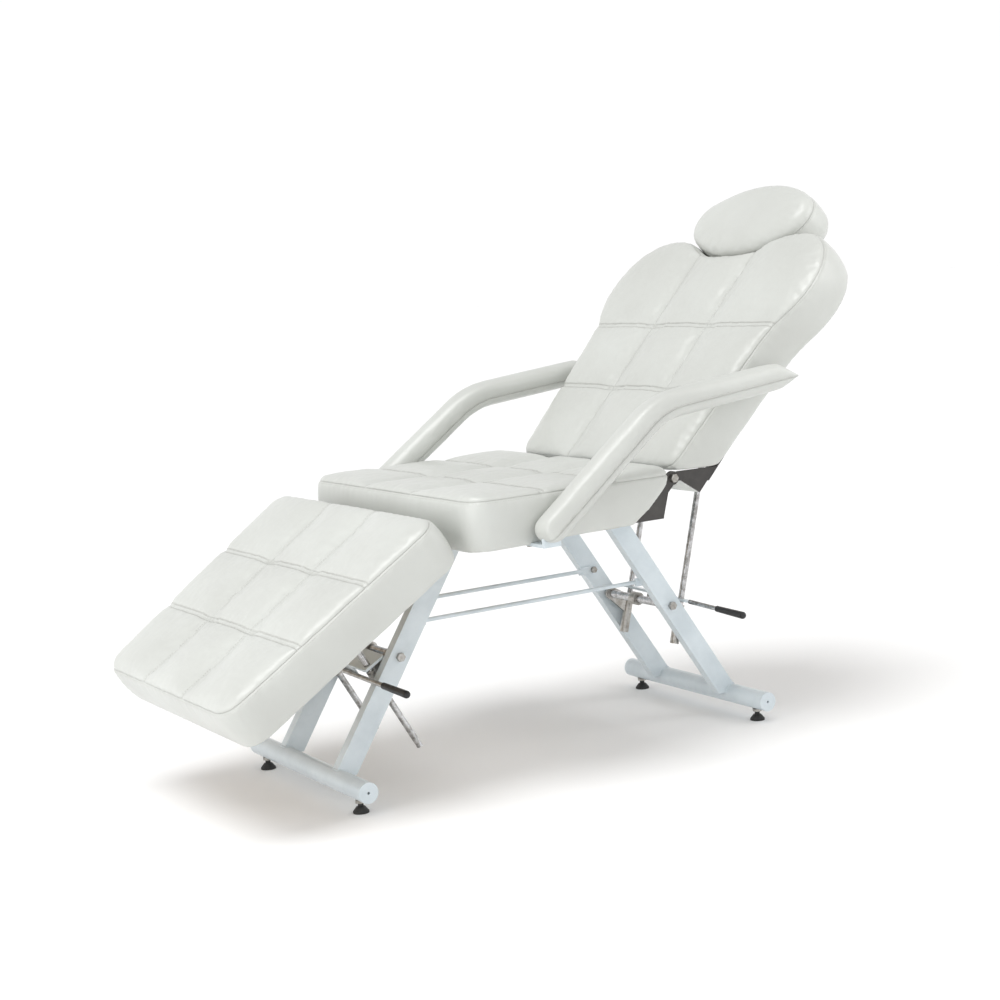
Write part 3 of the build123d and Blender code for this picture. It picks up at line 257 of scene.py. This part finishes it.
def inflated(bm, free_share, cap):
    """Let the skin swell under pressure, held where free_share is 0, and limit how far it moves."""
    work = work_object(bm)
    start = [vertex.co.copy() for vertex in work.data.vertices]
    free = [free_share(co) for co in start]
    held = work.vertex_groups.new(name="held")
    for index, share in enumerate(free):
        held.add([index], 1 - share, "REPLACE")
    cloth = work.modifiers.new("skin", "CLOTH")
    cloth.settings.quality = 4
    cloth.settings.mass = 0.3
    cloth.settings.use_pressure = True
    cloth.settings.uniform_pressure_force = pressure_force
    cloth.settings.vertex_group_mass = "held"
    cloth.settings.tension_stiffness = 8
    cloth.settings.compression_stiffness = 8
    cloth.settings.shear_stiffness = 5
    cloth.settings.bending_stiffness = 0.5
    cloth.settings.effector_weights.gravity = 0
    cloth.point_cache.frame_start = 1
    cloth.point_cache.frame_end = settle_frames
    for frame_number in range(1, settle_frames + 1):
        bpy.context.scene.frame_set(frame_number)
    settled = applied(work)
    for index, vertex in enumerate(settled.vertices):
        move = vertex.co - start[index]
        limit = cap * free[index]
        if move.length > 0:
            vertex.co = start[index] + move * (limit / (limit + move.length))
    result = taken_back(work, settled)
    bpy.context.scene.frame_set(1)
    return result


def swelled(bm, free_share, cap):
    return inflated(bm, free_share, cap)


# Upholstered panels
class Panel:
    """Where a panel's sewn lines run, in its flat position."""

    def __init__(self, node, place, board, cross_lines, rows, seam_rise):
        self.node = node
        self.place = place
        bm = merged_copy(node, place)
        self.low = Vector([min(vertex.co[axis] for vertex in bm.verts) for axis in range(3)])
        self.high = Vector([max(vertex.co[axis] for vertex in bm.verts) for axis in range(3)])
        bm.free()
        board_bm = merged_copy(board, place)
        self.board_top = max(vertex.co.z for vertex in board_bm.verts)
        board_bm.free()
        self.cross_lines = cross_lines
        self.rows = (-rows, rows) if rows else ()
        self.seam = self.low.z + seam_rise


def bump(distance, width):
    """1 at no distance, fading to 0 a few widths away."""
    return exp(-(distance / width) ** 2)


def clamped(value):
    """The value kept between 0 and 1."""
    return max(0.0, min(1.0, value))


def from_end(panel, co):
    """How far a point lies from the nearer end of its panel."""
    return min(co.x - panel.low.x, panel.high.x - co.x)


def quilted(bm, panel):
    """Pull the top down along the sewn rows and hardest where they cross the channels."""
    for vertex in bm.verts:
        co = vertex.co
        if co.z < panel.seam + lowest_dip:
            continue
        drop = 0
        for row in panel.rows:
            fade = clamped(from_end(panel, co) / row_end_fade)
            drop = max(drop, row_pull * fade * bump(co.y - row, row_width))
        for line in panel.cross_lines:
            for row in panel.rows:
                drop += tuft_pull * bump(hypot(co.x - line, co.y - row), tuft_radius)
        vertex.co.z = max(panel.seam + lowest_dip, co.z - drop)


def puckered(bm, panel):
    """Fine gathers where the cover is sewn: across the channels and down from the rim."""
    bm.normal_update()
    for vertex in bm.verts:
        co = vertex.co
        if co.z < panel.board_top + pucker_floor:
            continue
        rise = 0
        if vertex.normal.z > flat_enough:
            for line in panel.cross_lines:
                away = co.x - line
                gather = noise.noise(Vector((away / gather_length, co.y / gather_pitch, channel_layer)))
                rise += pucker_height * bump(away, channel_gather_reach) * gather
            for row in panel.rows:
                away = co.y - row
                gather = noise.noise(Vector((co.x / gather_pitch, away / gather_length, row_layer)))
                rise += row_gather_share * pucker_height * bump(away, row_gather_reach) * gather
        spot = Vector((co.x / rim_gather_pitch, co.y / rim_gather_pitch, co.z / rim_gather_length))
        rise += pucker_height * bump(co.z - panel.seam, rim_gather_reach) * noise.noise(spot)
        vertex.co = co + vertex.normal * rise
    bm.normal_update()


def apart(value, lines):
    """Signed distance from two lines: exact near each of them, smooth between."""
    if not lines:
        return far_away
    first, second = lines
    return (value - first) * (value - second) / (second - first)


def mark_seams(bm, panel):
    """Keep each vertex's signed distance from the seams, counted from seam_zero, for the cover's material."""
    across = bm.verts.layers.float.new("seam_across")
    along = bm.verts.layers.float.new("seam_along")
    rim = bm.verts.layers.float.new("seam_rim")
    for vertex in bm.verts:
        co = vertex.co
        top = co.z > panel.seam
        vertex[across] = seam_zero + (apart(co.x, panel.cross_lines) if top else far_away)
        vertex[along] = seam_zero + (apart(co.y, panel.rows) if top else far_away)
        vertex[rim] = seam_zero + co.z - panel.seam


def panel_free(panel, co):
    """How freely the skin moves: not at all underneath, and little on the sewn lines."""
    if co.z < panel.board_top + board_margin:
        return 0.0
    if co.z > panel.seam + top_margin:
        from_lines = [abs(co.x - line) for line in panel.cross_lines]
        from_rows = [abs(co.y - row) for row in panel.rows]
        return clamped(sewn_share + min(from_lines + from_rows + [1.0]) / sewn_reach)
    end = clamped(end_share + from_end(panel, co) / end_reach)
    wall = end * clamped((co.z - panel.board_top) / wall_reach)
    return min(wall, clamped(rim_share + abs(co.z - panel.seam) / rim_reach))


def nearest_share(path, co, width):
    """1 on a seam's path, fading to 0 a few widths away."""
    distance = path.find(co)[2]
    return bump(distance, width) if distance < 3 * width else 0.0


def path_tree(path):
    """A path's points in a tree that finds the nearest one."""
    tree = KDTree(len(path))
    for index, point in enumerate(path):
        tree.insert(point, index)
    tree.balance()
    return tree


def cut_paths(bm, point, normal, keep):
    """The lines where a plane cuts the skin, as ordered rows of points."""
    copy = bm.copy()
    parts = copy.verts[:] + copy.edges[:] + copy.faces[:]
    result = bmesh.ops.bisect_plane(copy, geom=parts, dist=cut_tolerance, plane_co=point, plane_no=normal)
    copy.verts.index_update()
    edges = [element for element in result["geom_cut"] if isinstance(element, bmesh.types.BMEdge)]
    kept = [edge for edge in edges if all(keep(vertex.co) for vertex in edge.verts)]
    paths = chained(kept, fewest_points)
    copy.free()
    return paths


def chained(edges, fewest):
    """Edges joined end to end into ordered rows, of which those with more than the fewest points stay."""
    ends = {}
    for edge in edges:
        for vertex in edge.verts:
            ends.setdefault(vertex, []).append(edge)
    paths = []
    left = dict.fromkeys(edges)
    order = sorted(ends, key=lambda vertex: (len(ends[vertex]), vertex.index))
    for first in order:
        free = [edge for edge in ends[first] if edge in left]
        if not free:
            continue
        chain = [first.co.copy()]
        vertex = first
        while free:
            edge = free[0]
            del left[edge]
            vertex = edge.other_vert(vertex)
            chain.append(vertex.co.copy())
            free = [other for other in ends[vertex] if other in left]
        if len(chain) > fewest:
            paths.append(chain)
    return paths


def resampled(chain, pitch):
    """Points along a chain, one every pitch."""
    points = [chain[0]]
    carry = 0.0
    for start, stop in zip(chain, chain[1:]):
        run = (stop - start).length
        if run == 0:
            continue
        travel = pitch - carry
        while travel <= run:
            points.append(start.lerp(stop, travel / run))
            travel += pitch
        carry = run - (travel - pitch)
    return points


def sunk_along(bm, paths, depth, width):
    """Press a narrow fold into the skin along the paths."""
    points = [point for chain in paths for point in resampled(chain, fold_pitch)]
    if not points:
        return
    tree = path_tree(points)
    bm.normal_update()
    moves = [(vertex, nearest_share(tree, vertex.co, width)) for vertex in bm.verts]
    for vertex, share in moves:
        if share > 0:
            vertex.co = vertex.co - vertex.normal * (depth * share)


def stitches(name, bm, paths, body, place):
    """Short thread segments laid along the paths, each dipping into the skin at its ends."""
    skin = BVHTree.FromBMesh(bm)
    piece = new_curve(name, thread_radius, thread, roundness=1)
    for chain in paths:
        points = resampled(chain, stitch_pitch)
        for start, stop in zip(points, points[1:]):
            along = (stop - start) * (stitch_length / stitch_pitch)
            middle = (start + stop) / 2
            normal = skin.find_nearest(middle)[1]
            spline = piece.data.splines.new("POLY")
            spline.points.add(len(stitch_points) - 1)
            for point, (share, rise) in zip(spline.points, stitch_points):
                spot = place @ (middle + along * share + normal * rise)
                point.co = (*spot, 1)
    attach(piece, body)


def cut_across(bm, line, keep):
    """The lines where the skin meets an upright plane across the chair."""
    return cut_paths(bm, (line, 0, 0), (1, 0, 0), keep)


def cut_along(bm, row, keep):
    """The lines where the skin meets an upright plane along the chair."""
    return cut_paths(bm, (0, row, 0), (0, 1, 0), keep)


def cut_level(bm, height):
    """The line round the skin at one height."""
    return cut_paths(bm, (0, 0, height), (0, 0, 1), lambda co: True)


def sewn_paths(bm, panel, on_top):
    """Where the thread runs: under the rim, on both sides of each channel and beside each row."""
    paths = cut_level(bm, panel.seam - stitch_gap)
    for line in panel.cross_lines:
        for away in (-channel_half, channel_half):
            paths += cut_across(bm, line + away, on_top)
    for row in panel.rows:
        paths += cut_along(bm, row + stitch_gap, on_top)
    return paths


def upholstered(name, panel, cap, body, fitted):
    """One cushion: a swelled skin over the node's shape, its seams folded in and sewn after."""
    bm = merged_copy(panel.node, panel.place)
    if fitted:
        for vertex in bm.verts:
            vertex.co = fitted(vertex.co)
    bm = remeshed(bm, remesh_size)
    quilted(bm, panel)
    softened(bm, softening_turns)
    bm = swelled(bm, lambda co: panel_free(panel, co), cap)
    bm = subdivided(bm)

    def on_top(co):
        """Whether a point lies above the rim's seam."""
        return co.z > panel.seam + top_margin

    rim = cut_level(bm, panel.seam)
    channels = [path for line in panel.cross_lines for path in cut_across(bm, line, on_top)]
    rows = [path for row in panel.rows for path in cut_along(bm, row, on_top)]
    sunk_along(bm, rim, seam_depth, seam_width)
    sunk_along(bm, channels, channel_depth, channel_width)
    sunk_along(bm, rows, seam_depth, seam_width)
    puckered(bm, panel)
    mark_seams(bm, panel)
    stitches(f"{name}_stitching", bm, sewn_paths(bm, panel, on_top), body, panel.place)
    bmesh.ops.transform(bm, matrix=panel.place, verts=bm.verts)
    bmesh.ops.recalc_face_normals(bm, faces=bm.faces)
    piece = new_object(f"{name}_upholstery", bm, white_leather)
    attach(piece, body)
    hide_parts(panel.node)


# Welds
def run_length(points):
    """The length of a row of points."""
    return sum((stop - start).length for start, stop in zip(points, points[1:]))


def foot_outline(leg, tube):
    """The longest row of points where a leg's coped foot meets its floor tube."""
    low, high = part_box(tube)
    middle = (low + high) / 2
    radius = (high.z - low.z) / 2
    bm = merged_copy(leg)

    def on_tube(vertex):
        from_axis = hypot(vertex.co.x - middle.x, vertex.co.z - middle.z)
        return abs(from_axis - radius) < weld_tolerance

    def within_cope(edge):
        return all(on_tube(vertex) for face in edge.link_faces for vertex in face.verts)

    rim = [edge for edge in bm.edges if all(on_tube(vertex) for vertex in edge.verts)]
    chains = chained([edge for edge in rim if not within_cope(edge)], weld_fewest_points)
    bm.free()
    return max(chains, key=run_length, default=None)


def weld_bead(leg, tube):
    """A rippled bead where a leg's coped foot sits on its floor tube."""
    outline = foot_outline(leg, tube)
    if not outline:
        return
    points = resampled(outline, bead_pitch)
    bead = new_curve(f"weld_{leg}", bead_radius, white_paint, roundness=2)
    spline = bead.data.splines.new("POLY")
    spline.points.add(len(points) - 1)
    for number, (point, spot) in enumerate(zip(spline.points, points)):
        point.co = (*spot, 1)
        point.radius = 1 + bead_ripple * sin(number * bead_ripple_turn)
    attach(bead, "frame")


# Arms
def arm_line(side):
    """The arm's middle line from root to tip, the direction square to it, and the way out to its side."""
    out = Vector((0, side * cos(arm_lean), sin(arm_lean)))
    up = Vector((0, -side * sin(arm_lean), cos(arm_lean)))
    root = Vector((arm_root.x, side * arm_root.y, arm_root.z))
    points = []
    normals = []

    def ahead(angle):
        return Vector((cos(angle), 0, 0)) + up * sin(angle)

    def square(angle):
        return Vector((-sin(angle), 0, 0)) + up * cos(angle)

    for step in range(int(arm_rise_length / arm_rise_pitch) + 1):
        points.append(root + ahead(arm_rise_angle) * (step * arm_rise_pitch))
        normals.append(square(arm_rise_angle))
    bend_start = root + ahead(arm_rise_angle) * arm_rise_length
    centre = bend_start - square(arm_rise_angle) * arm_bend_radius
    for step in range(arm_bend_steps + 1):
        angle = arm_rise_angle + (arm_level_angle - arm_rise_angle) * step / arm_bend_steps
        points.append(centre + square(angle) * arm_bend_radius)
        normals.append(square(angle))
    bend_end = points[-1]
    for step in range(1, arm_level_steps + 1):
        points.append(bend_end + ahead(arm_level_angle) * (step * arm_level_length / arm_level_steps))
        normals.append(square(arm_level_angle))
    return points, normals, out


def pinched(bm, tip, ahead, up):
    """Flatten the sleeve's end towards its seam."""
    for vertex in bm.verts:
        past = (vertex.co - tip).dot(ahead) + pinch_start
        if past > 0:
            squeeze = 1 - pinch_depth * clamped(past / pinch_length)
            height = (vertex.co - tip).dot(up)
            vertex.co = vertex.co + up * ((height - arm_seam_drop) * squeeze + arm_seam_drop - height)


def arm_gathered(bm, points, normals):
    """Keep each vertex's distance from the arm's seams, and gather the skin beside them."""
    tree = path_tree(points)
    rim = bm.verts.layers.float.new("seam_rim")
    for vertex in bm.verts:
        index = tree.find(vertex.co)[1]
        above = (vertex.co - points[index]).dot(normals[index]) - arm_seam_drop
        vertex[rim] = seam_zero + above
        gather = noise.noise(vertex.co / arm_gather_pitch)
        rise = arm_gather_share * pucker_height * bump(above, arm_gather_reach) * gather
        vertex.co = vertex.co + vertex.normal * rise


def padded_arm(side_name, side):
    """One arm pad: a swelled sleeve, pinched at its tip, sewn along its outer and inner edges."""
    node = f"arm_pad_{side_name}"
    points, normals, out = arm_line(side)
    tip = points[-1]
    tip_ahead = (points[-1] - points[-2]).normalized()
    bm = remeshed(merged_copy(node), arm_remesh_size)
    softened(bm, arm_softening_turns)
    pinched(bm, tip, tip_ahead, normals[-1])
    bm = swelled(bm, lambda co: tip_share if (co - tip).dot(tip_ahead) > 0 else 1.0, arm_cap)
    bm = subdivided(bm)

    def laid(drop):
        """The lines on the sleeve at one height, on its inner and its outer side."""
        skin = BVHTree.FromBMesh(bm)
        chains = []
        for way in (-1, 1):
            hits = [skin.ray_cast(point + normal * drop + out * (way * arm_far_out), out * -way)[0]
                    for point, normal in zip(points, normals)]
            chains.append([hit for hit in hits if hit])
        return chains

    sunk_along(bm, laid(arm_seam_drop), seam_depth, seam_width)
    bm.normal_update()
    stitches(f"arm_stitching_{side_name}", bm, laid(arm_seam_drop + stitch_gap), "frame", level)
    arm_gathered(bm, points, normals)
    bmesh.ops.recalc_face_normals(bm, faces=bm.faces)
    piece = new_object(f"arm_upholstery_{side_name}", bm, white_leather)
    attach(piece, "frame")
    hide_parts(node)


# Materials
def node_tree(name):
    """A material with one principled shader."""
    material = bpy.data.materials.new(name)
    material.use_nodes = True
    tree = material.node_tree
    return material, tree, tree.nodes["Principled BSDF"]


def set_sockets(shader, values):
    """Set a shader's plain values by the names of their sockets."""
    for name, value in values.items():
        shader.inputs[name].default_value = value


def add_node(tree, kind, **values):
    """A new node, each value set on the socket or the setting of that name."""
    node = tree.nodes.new(kind)
    for key, value in values.items():
        if key in node.inputs:
            node.inputs[key].default_value = value
        else:
            setattr(node, key, value)
    return node


def object_coordinates(tree):
    """Places on the object itself, so that its texture stays with it."""
    return add_node(tree, "ShaderNodeTexCoord").outputs["Object"]


def ramp(tree, source, stops):
    """A colour ramp from a value, stops as (position, colour)."""
    node = add_node(tree, "ShaderNodeValToRGB")
    elements = node.color_ramp.elements
    while len(elements) < len(stops):
        elements.new(0.5)
    for element, (position, colour) in zip(elements, stops):
        element.position = position
        element.color = (*colour, 1)
    tree.links.new(source, node.inputs["Fac"])
    return node.outputs["Color"]


def noise_value(tree, scale, detail, roughness):
    """A cloudy value from 0 to 1."""
    node = add_node(tree, "ShaderNodeTexNoise", Scale=scale, Detail=detail, Roughness=roughness)
    tree.links.new(object_coordinates(tree), node.inputs["Vector"])
    return node.outputs["Fac"]


def bumps(tree, shader, layers):
    """Stack bump nodes: layers as (height output, strength, distance)."""
    previous = None
    for height, strength, distance in layers:
        node = add_node(tree, "ShaderNodeBump", Strength=strength, Distance=distance)
        tree.links.new(height, node.inputs["Height"])
        if previous:
            tree.links.new(previous, node.inputs["Normal"])
        previous = node.outputs["Normal"]
    tree.links.new(previous, shader.inputs["Normal"])


def maths(tree, operation, *values, clamp=False):
    """A sum on values that are numbers or other nodes' outputs."""
    node = add_node(tree, "ShaderNodeMath", operation=operation, use_clamp=clamp)
    for socket, value in zip(node.inputs, values):
        if isinstance(value, (int, float)):
            socket.default_value = value
        else:
            tree.links.new(value, socket)
    return node.outputs["Value"]


def roughened(tree, shader, cloud, swing, least):
    """Roughness that follows a cloudy value, from its least up by its swing."""
    tree.links.new(maths(tree, "MULTIPLY_ADD", cloud, swing, least), shader.inputs["Roughness"])


def seam_share(tree, attribute, offset, half_width):
    """1 in the middle of a seam and 0 beyond its half width, from the distance kept on the mesh."""
    kept = add_node(tree, "ShaderNodeAttribute", attribute_name=attribute).outputs["Fac"]
    distance = maths(tree, "ABSOLUTE", maths(tree, "SUBTRACT", kept, seam_zero))
    distance = maths(tree, "ABSOLUTE", maths(tree, "SUBTRACT", distance, offset))
    return maths(tree, "SUBTRACT", 1, maths(tree, "DIVIDE", distance, half_width), clamp=True)


def seam_lines(tree):
    """1 on every seam of a cover."""
    rim = seam_share(tree, "seam_rim", offset=0, half_width=1.6 * mm)
    across = seam_share(tree, "seam_across", offset=channel_half, half_width=1.8 * mm)
    along = seam_share(tree, "seam_along", offset=0, half_width=1.6 * mm)
    return maths(tree, "MAXIMUM", rim, maths(tree, "MAXIMUM", across, along))


def shade_painted(tree, colour, share, tint):
    """The colour multiplied by a tint where the share says so, to paint shade along the seams."""
    mix = add_node(tree, "ShaderNodeMix", data_type="RGBA", blend_type="MULTIPLY")
    tree.links.new(share, mix.inputs["Factor"])
    plain, dark = [socket for socket in mix.inputs if socket.type == "RGBA"]
    tree.links.new(colour, plain)
    dark.default_value = (*tint, 1)
    return [socket for socket in mix.outputs if socket.type == "RGBA"][0]


def leatherette(name, pale, shade, sewn):
    """Soft white coated cloth: fine pebble grain, faint hand marks, slow colour drift, and sewn lines with painted
    shade in their grooves.
    """
    material, tree, shader = node_tree(name)
    set_sockets(shader, {"Specular IOR Level": 0.5, "Coat Weight": 0.15, "Coat Roughness": 0.3})
    drift = noise_value(tree, scale=5, detail=5, roughness=0.55)
    colour = ramp(tree, drift, ((0.3, shade), (0.7, pale)))
    grain = add_node(tree, "ShaderNodeTexVoronoi", Scale=620, feature="SMOOTH_F1")
    tree.links.new(object_coordinates(tree), grain.inputs["Vector"])
    pores = noise_value(tree, scale=1500, detail=2, roughness=0.6)
    ripple = noise_value(tree, scale=16, detail=3, roughness=0.5)
    hand_marks = noise_value(tree, scale=30, detail=4, roughness=0.6)
    roughened(tree, shader, hand_marks, swing=0.18, least=0.28)
    layers = [
        (ripple, 0.4, 4 * mm),
        (grain.outputs["Distance"], 0.12, 0.5 * mm),
        (pores, 0.08, 0.2 * mm),
    ]
    if sewn:
        lines = seam_lines(tree)
        layers.append((maths(tree, "MULTIPLY", lines, -1), 0.8, 1.2 * mm))
        # Painted shade: the colour is darkened along the seams, where their grooves would lie in shade.
        colour = shade_painted(tree, colour, maths(tree, "MULTIPLY", lines, 0.3), (0.55, 0.54, 0.5))
    tree.links.new(colour, shader.inputs["Base Color"])
    bumps(tree, shader, layers)
    return material


def painted(name, colour, worn, rough, peel):
    """Baked powder coat with orange peel, slow colour drift and light rub marks."""
    material, tree, shader = node_tree(name)
    set_sockets(shader, {"Roughness": rough, "Coat Weight": 0.25, "Coat Roughness": 0.15})
    drift = noise_value(tree, scale=14, detail=6, roughness=0.6)
    tree.links.new(ramp(tree, drift, ((0.35, worn), (0.6, colour))), shader.inputs["Base Color"])
    skin = noise_value(tree, scale=420, detail=2, roughness=0.5)
    marks = noise_value(tree, scale=60, detail=6, roughness=0.7)
    bumps(tree, shader, [(marks, 0.08, 0.5 * mm), (skin, peel, 0.25 * mm)])
    return material


def bright_metal(name, dull, bright, rough, brushed):
    """Plated steel, clouded and slightly worn, with a fine grain."""
    material, tree, shader = node_tree(name)
    set_sockets(shader, {"Metallic": 1})
    clouds = noise_value(tree, scale=90, detail=5, roughness=0.7)
    tree.links.new(ramp(tree, clouds, ((0.38, dull), (0.6, bright))), shader.inputs["Base Color"])
    smudges = noise_value(tree, scale=45, detail=5, roughness=0.65)
    roughened(tree, shader, smudges, swing=rough, least=rough * 0.5)
    fine = noise_value(tree, scale=700, detail=3, roughness=0.6)
    bumps(tree, shader, [(fine, 0.05 + brushed, 0.1 * mm)])
    return material


def moulded(name, colour, rough):
    """Moulded plastic or rubber with a spark-eroded grain."""
    material, tree, shader = node_tree(name)
    set_sockets(shader, {"Roughness": rough})
    drift = noise_value(tree, scale=70, detail=4, roughness=0.6)
    lighter = tuple(part * 1.7 + 0.004 for part in colour)
    tree.links.new(ramp(tree, drift, ((0.35, colour), (0.75, lighter))), shader.inputs["Base Color"])
    grain = noise_value(tree, scale=900, detail=2, roughness=0.5)
    bumps(tree, shader, [(grain, 0.25, 0.2 * mm)])
    return material


def plywood(name):
    """Birch ply with long grain along the chair."""
    material, tree, shader = node_tree(name)
    set_sockets(shader, {"Roughness": 0.62})
    mapping = add_node(tree, "ShaderNodeMapping", Scale=(0.3, 5, 5))
    tree.links.new(object_coordinates(tree), mapping.inputs["Vector"])
    grain = add_node(tree, "ShaderNodeTexNoise", Scale=12, Detail=8, Roughness=0.65, Distortion=0.6)
    tree.links.new(mapping.outputs["Vector"], grain.inputs["Vector"])
    stops = ((0.3, (0.44, 0.34, 0.24)), (0.55, (0.6, 0.5, 0.38)), (0.75, (0.7, 0.61, 0.48)))
    tree.links.new(ramp(tree, grain.outputs["Fac"], stops), shader.inputs["Base Color"])
    bumps(tree, shader, [(grain.outputs["Fac"], 0.2, 0.4 * mm)])
    return material


white_leather = leatherette("white_leatherette", (0.615, 0.63, 0.6), shade=(0.56, 0.57, 0.54), sewn=True)
thread = leatherette("white_thread", (0.6, 0.6, 0.56), shade=(0.5, 0.5, 0.47), sewn=False)
white_paint = painted("white_powder_coat", (0.68, 0.75, 0.79), worn=(0.6, 0.67, 0.71), rough=0.32, peel=0.12)
web_paint = painted("grey_paint", (0.60, 0.62, 0.58), worn=(0.50, 0.52, 0.49), rough=0.32, peel=0.12)
dark_paint = painted("dark_bronze_steel", (0.03, 0.027, 0.025), worn=(0.055, 0.05, 0.046), rough=0.34,
                     peel=0.3)
chrome = bright_metal("chrome_plate", (0.3, 0.29, 0.28), bright=(0.62, 0.62, 0.63), rough=0.2, brushed=0)
zinc = bright_metal("zinc_plate", (0.3, 0.28, 0.25), bright=(0.5, 0.49, 0.47), rough=0.36, brushed=0.03)
black_plastic = moulded("black_grip", (0.012, 0.012, 0.013), rough=0.42)
black_rubber = moulded("black_rubber", (0.014, 0.014, 0.014), rough=0.6)
board_wood = plywood("birch_ply")

slot_materials = {
    "upholstery": white_leather,
    "plywood": board_wood,
    "white_paint": white_paint,
    "dark_steel": dark_paint,
    "chromed_steel": chrome,
    "zinc_steel": zinc,
    "black_plastic": black_plastic,
    "black_rubber": black_rubber,
}
for row in frame["record"]["subparts"]:
    piece = nodes[row["node"]]
    piece.data.materials.clear()
    piece.data.materials.append(slot_materials[row["material_slot"]])
nodes["back_hinge_web"].data.materials[0] = web_paint
for end in ("front", "rear"):
    for side_name in ("right", "left"):
        weld_bead(f"{end}_leg_{side_name}", f"{end}_floor_tube")


# Cushions, each with where its channels run
def thirds(node):
    """The two places that part a node's length in three."""
    low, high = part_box(node)
    third = (high.x - low.x) / 3
    return low.x + third, low.x + 2 * third


def quilted_panel(name, place, lines):
    """The seat, back or legrest, with two channels across and two rows along."""
    return Panel(f"{name}_cushion", place, f"{name}_board", lines, row_offset, panel_seam_rise)


seat = quilted_panel("seat", level, thirds("seat_cushion"))
back = quilted_panel("back", back_turn, [back_hinge.x + away for away in back_channels])
legrest = quilted_panel("legrest", legrest_turn, [legrest_hinge.x + away for away in legrest_channels])
headrest = Panel("headrest_cushion", back_turn, "headrest_board", (), None, headrest_seam_rise)


# Covers that differ a little from their foam
def seat_fit(co):
    """The cover is drawn in and crowned at the rear, and wraps down over the board at the front."""
    reach = 150 * mm
    drawn_in, crown, wrap = 13 * mm, 5 * mm, 9 * mm
    rear = clamped((co.x - seat.high.x + reach) / reach)
    front = clamped((seat.low.x + reach - co.x) / reach)
    height = clamped((co.z - seat.low.z) / (seat.high.z - seat.low.z))
    rise = crown * rear * height - wrap * front * (1 - height)
    return Vector((co.x - drawn_in * rear ** 2, co.y, co.z + rise))


def legrest_fit(co):
    """The corners by the seat are filled out."""
    reach_along, reach_across = 60 * mm, 80 * mm
    widening = 0.025
    rear = clamped((co.x - legrest.high.x + reach_along) / reach_along)
    side = clamped((abs(co.y) - legrest.high.y + reach_across) / reach_across)
    return Vector((co.x, co.y * (1 + widening * (rear * side)), co.z))


def headrest_fit(co):
    """The headrest's cover stands a little proud of its foam all round."""
    wider, thicker, shift = 1.04, 1.03, 3 * mm
    middle = (headrest.low + headrest.high) / 2
    along = middle.x + shift + (co.x - middle.x) * wider
    return Vector((along, co.y * wider, headrest.low.z + (co.z - headrest.low.z) * thicker))


upholstered("seat", seat, panel_cap, "frame", seat_fit)
upholstered("back", back, panel_cap, "backrest", None)
upholstered("legrest", legrest, panel_cap, "legrest", legrest_fit)
upholstered("headrest", headrest, headrest_cap, "headrest", headrest_fit)
for side_name, side in (("right", -1), ("left", 1)):
    padded_arm(side_name, side)


# Stage, light and camera
def studio():
    """A pale floor under a sky that is white near the horizon and softer overhead."""
    bm = bmesh.new()
    bmesh.ops.create_grid(bm, x_segments=1, y_segments=1, size=30)
    material, _, shader = node_tree("pale_floor")
    set_sockets(shader, {"Base Color": (0.95, 0.95, 0.95, 1), "Roughness": 0.95})
    floor = new_object("studio_floor", bm, material)
    world = bpy.data.worlds.new("studio")
    world.use_nodes = True
    sky = world.node_tree
    split = add_node(sky, "ShaderNodeSeparateXYZ")
    sky.links.new(add_node(sky, "ShaderNodeTexCoord").outputs["Generated"], split.inputs["Vector"])
    spread = add_node(sky, "ShaderNodeMapRange")
    set_sockets(spread, {"From Min": 0.25, "From Max": 0.6, "To Min": 1.02, "To Max": 0.55})
    sky.links.new(split.outputs["Z"], spread.inputs["Value"])
    sky.links.new(spread.outputs["Result"], sky.nodes["Background"].inputs["Strength"])
    set_sockets(sky.nodes["Background"], {"Color": (1, 1, 1, 1)})
    bpy.context.scene.world = world
    bpy.context.scene.view_settings.view_transform = "Standard"


def area_light(name, place, aim, size, power):
    """A square lamp at a place, turned to what it lights."""
    data = bpy.data.lights.new(name, "AREA")
    data.size = size
    data.energy = power
    light = placed(name, data)
    light.location = place
    light.rotation_euler = (Vector(place) - Vector(aim)).to_track_quat("Z", "Y").to_euler()


def soft_sun(name, place, power, spread):
    """Even light from one side, soft like a large lamp."""
    data = bpy.data.lights.new(name, "SUN")
    data.energy = power
    data.angle = radians(spread)
    light = placed(name, data)
    light.rotation_euler = Vector(place).to_track_quat("Z", "Y").to_euler()


def photo_camera():
    """A camera that stands and looks as the photograph's did."""
    flat = cos(camera_pitch)
    forward = Vector((sin(camera_yaw) * flat, cos(camera_yaw) * flat, sin(camera_pitch)))
    right = Vector((cos(camera_yaw), -sin(camera_yaw), 0))
    up = right.cross(forward)
    right_rolled = right * cos(camera_roll) + up * sin(camera_roll)
    up_rolled = up * cos(camera_roll) - right * sin(camera_roll)
    data = bpy.data.cameras.new("photo_camera")
    data.sensor_width = sensor_width
    data.lens = focal_pixels * sensor_width / image_width
    data.shift_x = (image_width / 2 - centre_pixel[0]) / image_width
    data.shift_y = (centre_pixel[1] - image_width / 2) / image_width
    camera = placed("photo_camera", data)
    turn = Matrix((right_rolled, up_rolled, -forward)).transposed().to_4x4()
    camera.matrix_world = Matrix.Translation(camera_place) @ turn
    bpy.context.scene.camera = camera


studio()
soft_sun("key", place=(-0.7, -0.1, 2.2), power=1.6, spread=34)
area_light("low_front", place=(-2.4, -0.8, 1.0), aim=(-0.4, 0, 0.45), size=1.6, power=12)
area_light("side", place=(1.35, -1.0, 1.5), aim=(0.45, 0, 0.9), size=0.9, power=5)
photo_camera()
